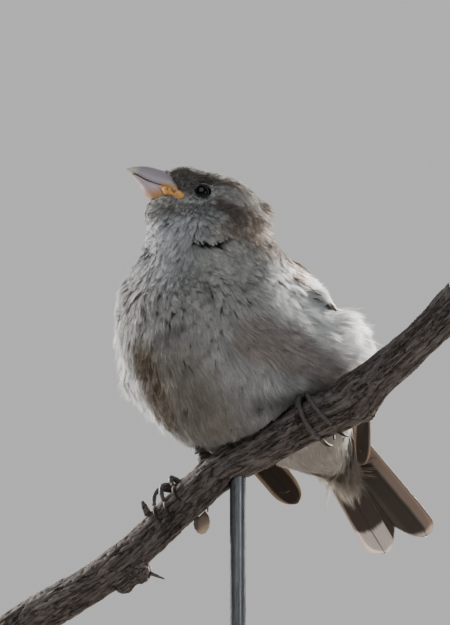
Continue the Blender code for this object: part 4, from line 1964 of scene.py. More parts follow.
class FeatherSheet:
    """Flight feathers laid over a curved sheet."""

    along = 30
    across = 8
    thickness = 0.1

    def point(self, t: float, s: float) -> Array:
        """A point of the sheet in mm; each wing or tail gives its own."""
        raise NotImplementedError

    def outer_way(self, t: float, s: float) -> Array:
        """The way towards a feather's outer vane; each wing or tail gives its own."""
        raise NotImplementedError

    def outward(self, t: float, s: float) -> Array:
        """The sheet's upper side's direction."""
        p = self.point(t, s)
        return unit(np.cross(self.point(t, s + 0.02) - p, self.point(t + 0.01, s) - p))

    def add_quill(self, bm: BMesh, quill: Quill, seed: float) -> None:
        """Adds one feather as a thin curved vane with a rounded tip.

        Args:
            bm: Where it is added.
            quill: The feather.
            seed: A number from 0 to 1 that sets its tone apart.
        """
        store = bm.verts.layers.float_vector.get("Vane") or bm.verts.layers.float_vector.new("Vane")
        rng = np.random.default_rng(int(seed * 9973))
        made = bmesh.ops.create_grid(bm, x_segments=self.across, y_segments=self.along, size=1)
        lines, places = [], []
        for i in range(self.along + 1):
            y = 1 - (1 - i / self.along) ** 1.7
            t, s = mix(quill.start[0], quill.end[0], y), mix(quill.start[1], quill.end[1], y)
            s += quill.bow * math.sin(math.pi * y)
            places.append(y)
            lines.append((self.point(t, s), self.outward(t, s)))
        spine = np.array([row[0] for row in lines])
        forward = unit(np.gradient(spine, np.array(places), axis=0))
        nick = rng.normal(0, 0.012, self.across + 1)
        middle = mix(quill.start[0], quill.end[0], 0.6), mix(quill.start[1], quill.end[1], 0.6)
        flip = np.cross(self.outward(*middle), forward[self.along // 2]) @ self.outer_way(*middle)
        for vert in made["verts"]:
            x = vert.co.x
            i = min(int(round((vert.co.y + 1) / 2 * self.along)), self.along)
            y, up = places[i], lines[i][1]
            side = unit(np.cross(up, forward[i]))
            leaf = 0.35 + 0.65 * min(1.0, (y / 0.25) ** 0.6)
            tip = max(0.0, (y - quill.blunt) / (1 - quill.blunt))
            reach = quill.width / 2 * leaf * math.sqrt(max(0.0, 1 - tip**2.2))
            column = int(round((x + 1) / 2 * self.across))
            ragged = nick[column] * y * quill.width * 2
            where = spine[i] + side * reach * x + forward[i] * ragged
            where = where + up * (quill.layer + 0.10 * (1 - x * x) * y - 0.04 * x * quill.width / 5)
            vert.co = Vector(where * MM)
            vert[store] = Vector((x if flip > 0 else -x, y, seed))

    def build_row(self, name: str, row: QuillRow, first: int) -> Object:
        """Builds a row of feathers.

        Args:
            name: The piece's name.
            row: The row.
            first: Sets the tones of its feathers apart from other rows' tones.

        Returns:
            One object with every feather.
        """
        bm = bmesh.new()
        for i, quill in enumerate(row.quills):
            self.add_quill(bm, quill, ((i + first) * GOLDEN_SHARE) % 1)
        bmesh.ops.remove_doubles(bm, verts=bm.verts, dist=0.0005 * MM)
        mesh = bpy.data.meshes.new(name)
        bm.to_mesh(mesh)
        bm.free()
        mesh.shade_smooth()
        made = new_object(name, mesh)
        solid = made.modifiers.new("thickness", "SOLIDIFY")
        solid.thickness, solid.offset = self.thickness * MM, 0
        settled(made)
        made.data.shade_smooth()
        return made


def stack(
    count: int,
    start: tuple[Pair, Pair],
    end: tuple[Pair, Pair],
    width: Pair,
    layer: Pair,
    bow: float = 0.0,
    blunt: float = 0.75,
) -> tuple[Quill, ...]:
    """A row of feathers whose sizes run evenly from the first to the last.

    Args:
        count: How many.
        start: The first and last feather's start on the sheet.
        end: The first and last feather's end on the sheet.
        width: The first and last feather's width in mm.
        layer: Their heights over the sheet in mm.
        bow: How far the shafts bend sideways.
        blunt: Where along the feather the tip starts to round.

    Returns:
        The feathers.
    """
    quills = []
    for i in range(count):
        f = i / max(count - 1, 1)
        ends = [tuple(mix(a, b, f) for a, b in zip(*pair)) for pair in (start, end)]
        quills.append(Quill(ends[0], ends[1], mix(*width, f), mix(*layer, f), bow, blunt))
    return tuple(quills)


@dataclass
class Wing(FeatherSheet):
    """A folded wing with its flight feathers and coverts, in the solid's sheet."""

    side: Side
    shoulder: Triple = (18, 19, 11)
    bulge: Triple = (-10, 29, 22.5)
    tip: Triple = (-46.5, 12, 1)
    left_shift: Triple = (3.4, 0.4, 1.0)
    right_shift: Triple = (-3.6, -1.0, 2.2)
    half_widths: tuple[Pair, ...] = (
        (0, 5), (0.12, 9), (0.3, 11.5), (0.6, 9.3), (0.85, 5.6), (0.95, 4.8), (1, 3),
    )
    tilt: Pair = (32, 52)
    sag: float = 1.6

    def point(self, t: float, s: float) -> Array:
        """A point of the sheet.

        Args:
            t: From 0 at the shoulder to 1 at the tip.
            s: From -1 at the belly edge to 1 at the back.

        Returns:
            The point in mm.
        """
        shift = np.array(self.right_shift if self.side is Side.RIGHT else self.left_shift) * t**2
        curve = (1 - t) ** 2 * np.array(self.shoulder) + 2 * t * (1 - t) * np.array(self.bulge)
        ahead, out, up = curve + t**2 * np.array(self.tip) + shift
        tilt = math.radians(mix(*self.tilt, t))
        reach = read_table(self.half_widths, t) * s
        sag = self.sag * (1 - t) * s * s
        out -= reach * math.sin(tilt) + sag * math.cos(tilt)
        up += reach * math.cos(tilt) - sag * math.sin(tilt)
        return BODY.world(ahead, out * self.side.value, up)

    def outer_way(self, t: float, s: float) -> Array:
        """Towards the belly edge."""
        return self.point(t, s - 0.05) - self.point(t, s)

    def outward(self, t: float, s: float) -> Array:
        """The wing's upper side, away from the body.

        Args:
            t: From 0 at the shoulder to 1 at the tip.
            s: From -1 at the belly edge to 1 at the back.

        Returns:
            A unit vector.
        """
        normal = super().outward(t, s)
        outside = BODY.basis[1] * self.side.value + BODY.basis[2] * 0.8
        return normal if normal @ outside > 0 else -normal

    def rows(self) -> tuple[QuillRow, ...]:
        """The wing's feathers, from the lowest layer up.

        Returns:
            The rows.
        """
        shaft = (60, 46, 38)
        dark = VaneFinish(
            "primary_vane", 0.6, (70, 57, 48), (182, 160, 138), (150, 132, 114), shaft,
            0.3, 0.3, 0.015,
        )
        panel = VaneFinish(
            "secondary_vane", 0.6, (92, 72, 58), (196, 152, 112), (200, 164, 126), shaft,
            0.3, 0.16, 0.05,
        )
        tertial = VaneFinish(
            "tertial_vane", 0.65, (78, 60, 50), (198, 158, 116), (206, 172, 134), shaft,
            0.34, 0.2, 0.08,
        )
        great = VaneFinish(
            "greater_covert_vane", 0.7, (84, 66, 54), (194, 156, 116), (212, 188, 156), shaft,
            0.36, 0.22, 0.12,
        )
        median = VaneFinish(
            "median_covert_vane", 0.7, (76, 60, 50), (200, 176, 146), (226, 212, 190), shaft,
            0.2, 0.2, 0.3,
        )
        small = VaneFinish(
            "lesser_covert_vane", 0.75, (134, 106, 84), (170, 140, 112), (178, 148, 118),
            (110, 86, 66), 0.3, 0.3, 0.2,
        )
        # Each row's name, finish and count; the start, end, width and height of its first and
        # last feather; the shafts' bow, and where the tips start to round.
        plans = (
            (
                "primaries", dark, 7, ((0.42, -0.45), (0.40, -0.1)),
                ((1.0, -0.12), (0.76, 0.3)), (7.6, 7.2), (-0.5, 0.0), 0.04, 0.88,
            ),
            (
                "secondaries", panel, 6, ((0.36, -0.4), (0.32, 0.35)),
                ((0.74, -0.4), (0.70, 0.4)), (6.4, 6.4), (0.05, 0.2), 0.0, 0.84,
            ),
            (
                "tertials", tertial, 3, ((0.30, 0.25), (0.26, 0.72)),
                ((0.74, 0.25), (0.52, 0.8)), (7.6, 6.4), (0.25, 0.45), 0.0, 0.76,
            ),
            (
                "primary_coverts", dark, 5, ((0.24, -0.85), (0.24, -0.6)),
                ((0.52, -0.9), (0.48, -0.6)), (3.6, 3.8), (0.15, 0.25), 0.0, 0.74,
            ),
            (
                "greater_coverts", great, 9, ((0.20, -0.75), (0.18, 0.8)),
                ((0.46, -0.72), (0.38, 0.75)), (4.8, 5.0), (0.45, 0.6), 0.0, 0.66,
            ),
            (
                "median_coverts", median, 9, ((0.11, -0.85), (0.10, 0.85)),
                ((0.29, -0.8), (0.24, 0.85)), (4.2, 4.4), (0.7, 0.8), 0.0, 0.56,
            ),
            (
                "lesser_coverts_low", small, 9, ((0.05, -0.9), (0.04, 0.9)),
                ((0.18, -0.85), (0.15, 0.9)), (3.8, 3.8), (0.85, 0.9), 0.0, 0.5,
            ),
            (
                "lesser_coverts_high", small, 8, ((0.0, -0.9), (0.0, 0.9)),
                ((0.11, -0.85), (0.09, 0.9)), (3.8, 3.8), (0.95, 1.0), 0.0, 0.5,
            ),
        )
        return tuple(QuillRow(name, stack(*plan), finish) for name, finish, *plan in plans)

    def build(self, groups: Groups, finishes: dict[str, Material]) -> list[tuple[Object, Material]]:
        """Builds every row.

        Args:
            groups: The shared shader groups.
            finishes: Materials already made, by name.

        Returns:
            Each row's object and its material.
        """
        made = []
        for i, row in enumerate(self.rows()):
            if row.finish.name not in finishes:
                finishes[row.finish.name] = row.finish.make(groups)
            piece = self.build_row(f"wing_{self.side.word}_{row.name}", row, i * 11)
            made.append((piece, finishes[row.finish.name]))
        return made


@dataclass
class Tail(FeatherSheet):
    """The folded tail, seen from below in the pose: outer feathers lowest."""

    length: float = 55.0
    half_widths: tuple[Pair, ...] = (
        (0, 4), (0.3, 6.2), (0.6, 8.4), (0.85, 10.0), (1, 10.4),
    )
    notch: float = 7.0
    arch: float = 1.6
    pairs: int = 6
    lobe: float = 0.7
    corner: float = 5.0

    def point(self, t: float, s: float) -> Array:
        """A point of the sheet.

        Args:
            t: From 0 at the root to 1 at the tip.
            s: From -1 at the right edge to 1 at the left.

        Returns:
            The point in mm.
        """
        half = read_table(self.half_widths, t)
        lobes = self.notch * (1 - math.cos(math.pi * min(1.0, abs(s) / self.lobe))) / 2
        rounding = self.corner * max(0.0, (abs(s) - self.lobe) / (1 - self.lobe)) ** 2
        reach = (self.length - self.notch + lobes - rounding) * t
        return TAIL.world(-reach, half * s, -self.arch * s * s)

    def outer_way(self, t: float, s: float) -> Array:
        """Away from the tail's middle line."""
        return TAIL.basis[1] * (1 if s > 0 else -1)

    def outward(self, t: float, s: float) -> Array:
        """The tail's upper side."""
        return TAIL.basis[2]

    def rows(self) -> tuple[QuillRow, ...]:
        """The tail's feathers: the outermost two on their own, for their pale vanes.

        Returns:
            The rows.
        """
        shaft = (50, 41, 35)
        inner = VaneFinish(
            "tail_vane", 0.6, (62, 51, 43), (92, 76, 64), (196, 180, 166), shaft,
            0.06, 0.06, 0.03, 0.2,
        )
        left = VaneFinish(
            "tail_vane_outer_left", 0.6, (64, 53, 45), (148, 130, 116), (196, 183, 174), shaft,
            0.86, 0.04, 0.035, 0.3,
        )
        right = VaneFinish(
            "tail_vane_outer_right", 0.6, (64, 53, 45), (178, 162, 150), (216, 204, 196), shaft,
            0.2, 0.04, 0.16, 0.3,
        )
        quills = []
        for i in range(self.pairs):
            f = (i + 0.5) / self.pairs
            for sign in (-1, 1):
                start, end = (0.0, sign * 0.5 * f), (1.0, sign * (0.1 + 0.56 * f))
                quills.append(Quill(start, end, mix(7.0, 8.4, f), 0.45 - 0.9 * f, 0.0, 0.91))
        return (
            QuillRow("feathers", tuple(quills[:-2]), inner),
            QuillRow("outer_right", (quills[-2],), right),
            QuillRow("outer_left", (quills[-1],), left),
        )

    def build(self, groups: Groups) -> list[tuple[Object, Material]]:
        """Builds the rows.

        Args:
            groups: The shared shader groups.

        Returns:
            Each row's object and its material.
        """
        return [
            (self.build_row("tail_" + row.name, row, 3 + 17 * i), row.finish.make(groups))
            for i, row in enumerate(self.rows())
        ]


# ---------------------------------------------------------------- bill and eyes


class Column(Enum):
    """What a mandible's table gives at each distance ahead."""

    HALF = 1
    TOP = 2
    BOTTOM = 3


@dataclass
class Bill:
    """The two mandibles and the yellow gape."""

    upper: tuple[tuple[float, float, float, float], ...] = (
        (10.5, 4.4, 3.0, -1.9), (14.5, 3.9, 2.9, -1.7), (17.0, 3.2, 2.6, -1.75),
        (19.5, 2.4, 2.1, -1.5), (21.5, 1.6, 1.4, -1.05), (23.3, 0.8, 0.5, -0.85),
        (24.5, 0.25, -0.45, -0.85),
    )
    lower: tuple[tuple[float, float, float, float], ...] = (
        (10.5, 4.2, -2.2, -5.6), (14.5, 3.7, -2.0, -5.6), (17.5, 2.9, -2.05, -4.8),
        (19.5, 2.0, -1.8, -3.4), (21.5, 1.0, -1.35, -2.1), (22.6, 0.35, -1.15, -1.5),
    )
    gape_front: Triple = (15.0, 4.0, -1.9)
    gape_back: Triple = (8.4, 6.7, -3.0)
    horn_start: float = 9.8
    roundness: float = 2.3
    feather_line = (
        (-5.3, 18.0), (-5.2, 17.0), (-4.9, 15.4), (-4.3, 12.4), (-3.2, 10.7), (-2.2, 8.6),
        (-1.2, 10.6), (0.3, 11.5), (1.3, 13.1), (1.6, 14.1), (2.6, 15.1), (3.2, 18.0),
    )
    swell = (
        (0.0, 0.6), (0.14, 0.9), (0.34, 1.4), (0.46, 1.4),
        (0.58, 1.1), (0.72, 1.2), (0.84, 1.15), (1.0, 0.7),
    )
    gape_rings: int = 30
    rings: int = 40
    sides: int = 28
    nostril: Triple = (12.6, 2.9, 1.5)
    closing: float = 0.16
    horn: Triple = (164, 148, 154)
    # painted highlight: lighter horn along the top of the upper mandible
    ridge: Triple = (206, 196, 196)
    streak: Triple = (146, 126, 130)
    lilac: Triple = (202, 180, 184)
    yellow: Triple = (222, 160, 88)
    ivory: Triple = (220, 212, 178)
    # painted shade for the nostrils and the line where the mandibles meet
    seam: Triple = (84, 64, 62)
    root: Triple = (196, 172, 142)
    amber: Triple = (200, 146, 102)
    # painted highlight on the gape's upper side
    fold_highlight: Triple = (236, 204, 146)
    # painted shade in the gape's fold and pits
    fold_shade: Triple = (132, 88, 50)

    def mandible(self, name: str, stations: tuple[tuple[float, ...], ...], upper: bool) -> Object:
        """Lofts one mandible.

        Args:
            name: The piece's name.
            stations: Distance ahead, half width, top and bottom.
            upper: Whether it is the upper one.

        Returns:
            The piece, tinted.
        """
        bm = bmesh.new()
        rings = []
        for i in range(self.rings):
            f = (i / (self.rings - 1)) ** 0.85 * (len(stations) - 1)
            ahead, half, top, bottom = catmull_rom(stations, f)
            flat, peak = (bottom, top) if upper else (top + self.closing, bottom)
            ring = []
            for j in range(self.sides):
                turn = math.pi * j / (self.sides - 1)
                rise = flat + (peak - flat) * math.sin(turn) ** 0.8
                ridge = 0.12 * math.exp(-(((turn - math.pi / 2) / 0.25) ** 2))
                ridge *= min(1, (24.5 - ahead) / 6)
                rise += ridge if upper else -ridge * 0.6
                ring.append(HEAD.point(ahead, half * math.cos(turn), rise))
            rings.append(ring)
        add_loft(bm, rings)
        made = from_bmesh(bm, name)
        mesh = made.data
        points = coordinates(mesh)
        local = HEAD.local(points)
        if upper:
            depth = sum(
                step(self.by_nostril(local, sign, (1, 1 / 1.5, 1 / 0.62)), 1.0, 0.3) * 0.55
                for sign in (-1, 1)
            )
            place(mesh, points - normals(mesh) * depth[:, None])
        paint(mesh, self.tint(local, upper))
        mesh.set_sharp_from_angle(angle=math.radians(50))
        return made

    def by_nostril(self, local: Array, sign: int, squeeze: Triple) -> Array:
        """How far points are from one nostril, with each way squeezed by its own share."""
        middle = np.array(self.nostril) * (1, sign, 1)
        return np.linalg.norm((local - middle) * squeeze, axis=1)

    def tint(self, local: Array, upper: bool) -> Array:
        """Colours a mandible.

        Args:
            local: Its points on the head's axes, in mm.
            upper: Whether it is the upper one.

        Returns:
            The horn's linear colour at each point.
        """
        a, _, u = local.T
        rise = u - self.read(self.upper, a, Column.BOTTOM)
        if upper:
            groove = ((12.0, 0.3), (17.0, 0.0), (22.0, -0.4))
            # painted shade in the nostrils
            shaded_pits = (step(self.by_nostril(local, sign, (1, 0.6, 1.7)), 1.1, 0.5) for sign in (-1, 1))
            colour = Markings.layered(
                plain(self.horn, len(a)),
                # painted highlight along the culmen's top
                (self.ridge, step(rise, 3.0, 4.6) * 0.8),
                (self.streak, band(a, u, groove, 0.8) * 0.5),
                *((self.seam, pit) for pit in shaded_pits),
                (self.root, step(a, 15.5, 12.5) * step(rise, 2.2, 0.6) * 0.8),
            )
        else:
            colour = Markings.layered(
                plain(self.lilac, len(a)),
                (self.amber, step(rise + (a - 14) * 0.16, -1.0, -2.6)),
                (self.yellow, step(a, 17.0, 12.8) * 0.8),
            )
        # painted shade along the line where the mandibles meet
        edge = step(np.abs(rise + 0.12), 0.3, 0.06)
        return Markings.layered(
            colour,
            (self.ivory, step(a, 20.5, 23.5) * 0.85),
            (self.seam, edge * step(a, 24.2, 22.5) * 0.8),
        )

    @staticmethod
    def read(table: tuple[tuple[float, ...], ...], ahead: Array, column: Column) -> Array:
        """One column of a mandible's table at each distance ahead."""
        rows = np.array(table)
        return np.interp(ahead, rows[:, 0], rows[:, column.value])

    @classmethod
    def profile(cls, ahead: Array) -> tuple[Array, Array]:
        """The closed bill's top and bottom at each distance ahead."""
        return cls.read(cls.upper, ahead, Column.TOP), cls.read(cls.lower, ahead, Column.BOTTOM)

    @classmethod
    def fill(cls, local: Array) -> Array:
        """How far out points lie from the bill's middle.

        Args:
            local: Points on the head's axes, in mm.

        Returns:
            A number for each, below 1 inside the horn.
        """
        a, l, u = local.T
        half = cls.read(cls.upper, a, Column.HALF)
        top, bottom = cls.profile(a)
        rise = (u - (top + bottom) / 2) / np.maximum((top - bottom) / 2, 0.3)
        inside = (np.abs(l) / half) ** cls.roundness + np.abs(rise) ** cls.roundness
        return np.where(a > cls.horn_start, inside, 9.0)

    @classmethod
    def gape_gap(cls, local: Array) -> Array:
        """How far points on the head's axes are from the gape's folds, in mm."""
        near, t = cls.along_gape(local)
        return np.linalg.norm(local - near, axis=1) - np.interp(t, *np.array(cls.swell).T)

    @classmethod
    def border(cls, up: Array) -> Array:
        """How far ahead the feathers reach at each height on the head."""
        heights, reach = np.array(cls.feather_line).T
        return np.interp(up, heights, reach)

    @classmethod
    def pushed(cls, local: Array, share: float | None = None) -> Array:
        """Moves points out of the bill, or brings all of them to one share of its size.

        Args:
            local: Points on the head's axes, in mm.
            share: The share, or None to move out only what is inside.

        Returns:
            The points.
        """
        a = local[:, 0]
        fill = cls.fill(local)
        middle = np.stack((a, np.zeros(len(a)), sum(cls.profile(a)) / 2), axis=1)
        if share is None:
            grow = np.where(fill < 1.1, (1.1 / np.maximum(fill, 0.3)) ** 0.43, 1.0)
        else:
            grow = np.where(a > cls.horn_start, (share / np.maximum(fill, 0.05)) ** 0.43, 1.0)
        return middle + (local - middle) * grow[:, None]

    @classmethod
    def along_gape(cls, local: Array) -> tuple[Array, Array]:
        """Finds the nearest points of the gape's middle line on each point's own side.

        Args:
            local: Points on the head's axes, in mm.

        Returns:
            The nearest points, and how far along the line they lie, 0 to 1.
        """
        start, end = np.array(cls.gape_front), np.array(cls.gape_back)
        t, _ = nearest(local * mirror(local), start, end)
        return (start + t[:, None] * (end - start)) * mirror(local), t

    @classmethod
    def under_gape(cls, local: Array) -> Array:
        """Sinks points under the gape's folds where they lie on them.

        Args:
            local: Points on the head's axes, in mm.

        Returns:
            The points.
        """
        near, _ = cls.along_gape(local)
        on_fold = (cls.gape_gap(local) < 0.2)[:, None]
        return np.where(on_fold, near + (local - near) * 0.4, local)

    def gape(self, side: Side) -> Object:
        """The swollen, wrinkled corner of the mouth on one side.

        Args:
            side: The side.

        Returns:
            The piece.
        """
        points, radii = [], []
        for i in range(self.gape_rings):
            t = i / (self.gape_rings - 1)
            ahead, out, up = (mix(a, b, t) for a, b in zip(self.gape_front, self.gape_back))
            sag = 0.25 * math.sin(math.pi * t)
            points.append(HEAD.point(ahead, out * side.value, up - sag))
            radii.append(read_table(self.swell, t))
        bm = bmesh.new()
        add_tube(bm, points, radii, self.sides)
        made = from_bmesh(bm, "gape_fold_" + side.word)
        mesh = made.data
        world = coordinates(mesh)
        a, _, u = HEAD.local(world).T
        rise = u - self.read(self.upper, a, Column.BOTTOM) + 0.1
        fold = step(np.abs(rise), 0.3, 0.03) * step(a, 10.8, 12.0)
        bumps = wave(world, 1.1)
        shaded_pits = step(wave(world, 0.75, (5, 0, 2)), 0.22, 0.42)
        place(mesh, world + normals(mesh) * (bumps * 0.28 - fold * 0.35 - shaded_pits * 0.4)[:, None])
        # Painted light and shade: the gape is lighter on its raised bumps and upper side, darker in
        # its fold and pits.
        colours = Markings.layered(
            plain(self.yellow, len(a)) * (1 + 0.25 * bumps)[:, None],
            (self.fold_highlight, step(rise, 0.2, 1.0) * 0.4),
            (self.fold_shade, np.maximum(fold, shaded_pits) * 0.8),
        )
        paint(mesh, colours)
        return made

    def build(self, finish: Material, gape_finish: Material) -> None:
        """Builds and shows all four pieces.

        Args:
            finish: The horn's material.
            gape_finish: The gape's material.
        """
        for half, stations in (("upper", self.upper), ("lower", self.lower)):
            piece = self.mandible("mandible_" + half, stations, half == "upper")
            show(piece, finish, ("bill_" + half,))
        for side in Side:
            show(self.gape(side), gape_finish, ("gape_" + side.word,))


@dataclass
class Eye:
    """An eyeball with its lids."""

    side: Side
    centre: Triple = (4.5, 5.6, -0.2)
    radius: float = 2.7
    opening: Pair = (1.82, 1.3)
    lid: float = 0.15
    slant: float = -25.0
    dish: Pair = (7.9, 1.9)
    edge: float = 1.1
    lid_rings: int = 72
    lid_sides: int = 10
    iris: Triple = (22, 16, 13)
    pupil: Triple = (5, 5, 6)
    dark: Triple = (14, 11, 10)
    lid_skin: Triple = (30, 27, 26)
    lid_wet: Triple = (14, 13, 13)

    @property
    def axis(self) -> Array:
        """The way the eye looks, on the head's axes."""
        return unit(np.array((0.28, 1.0 * self.side.value, 0.02)))

    @classmethod
    def spread(cls, local: Array) -> tuple[Array, Array]:
        """Reads places along and across the eye's slanting opening.

        Args:
            local: Points on the head's axes, in mm.

        Returns:
            The ways along and across it from its middle, in mm.
        """
        a, u = local[:, 0] - cls.centre[0], local[:, 2] - cls.centre[2]
        turn = math.radians(cls.slant)
        return a * math.cos(turn) + u * math.sin(turn), u * math.cos(turn) - a * math.sin(turn)

    @classmethod
    def ring(cls, local: Array) -> Array:
        """How far out points lie from the eye: 1 on the opening's edge."""
        along, across = cls.spread(local)
        return np.hypot(along / cls.opening[0], across / cls.opening[1])

    @classmethod
    def gap(cls, local: Array) -> Array:
        """How far points on the head's axes are from the nearer eye's centre, in mm."""
        own_side = local * (1, 0, 1) + np.abs(local) * (0, 1, 0)
        return np.linalg.norm(own_side - np.array(cls.centre), axis=1)

    @classmethod
    def dished(cls, local: Array, spare: float) -> Array:
        """Draws points in to a shallow dish round each eye.

        Args:
            local: Points on the head's axes, in mm.
            spare: How far above the dish they may stay, in mm.

        Returns:
            The points.
        """
        depth, flat = cls.dish
        far = np.hypot(local[:, 0] - cls.centre[0], local[:, 2] - cls.centre[2])
        limit = depth + spare + np.maximum(far - flat, 0)
        moved = local.copy()
        moved[:, 1] = np.clip(local[:, 1], -limit, limit)
        return moved

    @classmethod
    def pushed(cls, local: Array) -> Array:
        """Moves points out of the eyes' openings.

        Args:
            local: Points on the head's axes, in mm.

        Returns:
            The points.
        """
        ring = cls.ring(local)
        inside = (ring < cls.edge) & (np.abs(local[:, 1]) > 4.5)
        push = np.where(inside, cls.edge / np.maximum(ring, 0.2), 1)
        moved = local.copy()
        for axis in (0, 2):
            moved[:, axis] = (local[:, axis] - cls.centre[axis]) * push + cls.centre[axis]
        return moved

    def build(self, wet: Material, skin: Material) -> None:
        """Builds and shows the ball and its lids."""
        show(self.ball(), wet, ("eye_" + self.side.word,))
        show(self.lids(), skin)

    def frame(self) -> tuple[Array, Array, Array, Array]:
        """The ball's place and ways in the world.

        Returns:
            Its centre, its axis, and the ways forward and up across it.
        """
        middle = HEAD.world(self.centre[0], self.centre[1] * self.side.value, self.centre[2])
        axis = self.axis @ HEAD.basis
        up = unit(HEAD.basis[2] - axis * (HEAD.basis[2] @ axis))
        return middle, axis, unit(np.cross(up, axis)) * self.side.value, up

    def ball(self) -> Object:
        """Builds the eyeball with a low cornea.

        Returns:
            The piece.
        """
        middle, axis, forward, up = self.frame()
        across = forward if np.cross(forward, up) @ axis > 0 else -forward
        turn = Matrix(np.array((across, up, axis)).T.tolist()).to_4x4()
        bm = bmesh.new()
        radius = self.radius * MM
        bmesh.ops.create_uvsphere(bm, u_segments=64, v_segments=40, radius=radius, matrix=turn)
        bmesh.ops.translate(bm, verts=bm.verts, vec=Vector(middle * MM))
        made = from_bmesh(bm, "eyeball_" + self.side.word)
        points = coordinates(made.data)
        out = unit(points - middle)
        rim = np.degrees(np.arccos(np.clip(out @ axis, -1, 1)))
        place(made.data, points + out * (step(rim, 46, 10) * 0.12)[:, None])
        colours = Markings.layered(
            plain(self.dark, len(points)),
            (self.iris, step(rim, 44, 38) * step(rim, 24, 28)),
            (self.pupil, step(rim, 28, 24)),
        )
        paint(made.data, colours)
        return made

    def lids(self) -> Object:
        """A low ring of bare skin round the opening, drawn out behind into a corner.

        Returns:
            The piece.
        """
        middle, axis, forward, up = self.frame()
        turn = math.radians(self.slant)
        long_way = forward * math.cos(turn) + up * math.sin(turn)
        short_way = up * math.cos(turn) - forward * math.sin(turn)
        rings = []
        for i in range(self.lid_rings):
            a = math.tau * i / self.lid_rings
            behind = max(0.0, -math.cos(a))
            along = math.cos(a) * (self.opening[0] + 0.4 * behind**8)
            across = math.sin(a) * self.opening[1] * (1 - 0.2 * behind**2) - 0.12 * behind**6
            flat = long_way * along + short_way * across
            rise = math.sqrt(max(0.0, self.radius**2 - float(flat @ flat)))
            tall = 1.0 + 0.2 * max(0.0, math.sin(a))
            lump = self.lid * (1 + 0.08 * math.sin(a * 23))
            spot_on = middle + flat + axis * (rise + 0.02 - lump * 0.35)
            ring = []
            for j in range(self.lid_sides):
                b = math.tau * j / self.lid_sides
                out = unit(flat) * (math.cos(b) * lump * 1.3 * tall + lump * 0.9)
                ring.append(Vector((spot_on + out + axis * math.sin(b) * lump * 0.8) * MM))
            rings.append(ring)
        bm = bmesh.new()
        add_loft(bm, rings + [rings[0]], capped=False)
        bmesh.ops.remove_doubles(bm, verts=bm.verts, dist=0.0005 * MM)
        made = from_bmesh(bm, "lids_" + self.side.word)
        far = np.linalg.norm(coordinates(made.data) - middle, axis=1)
        wet = step(far, self.radius + 0.1, self.radius - 0.1)
        paint(made.data, Markings.lay(plain(self.lid_skin, len(far)), self.lid_wet, wet))
        return made


# ---------------------------------------------------------------- perch, feet and stand


@dataclass(frozen=True)
class Stub:
    """A short snapped twig.

    Attributes:
        place: Where it grows along the branch, in route points.
        angle: Its angle round the branch, 0 on the near side and 90 on top.
        base: Its foot's distance from the branch's middle, in mm.
        radii: Its radii in mm from foot to tip.
        lean: The way from its foot towards its tip, in mm.
    """

    place: float
    angle: float
    base: float
    radii: tuple[float, ...]
    lean: Triple


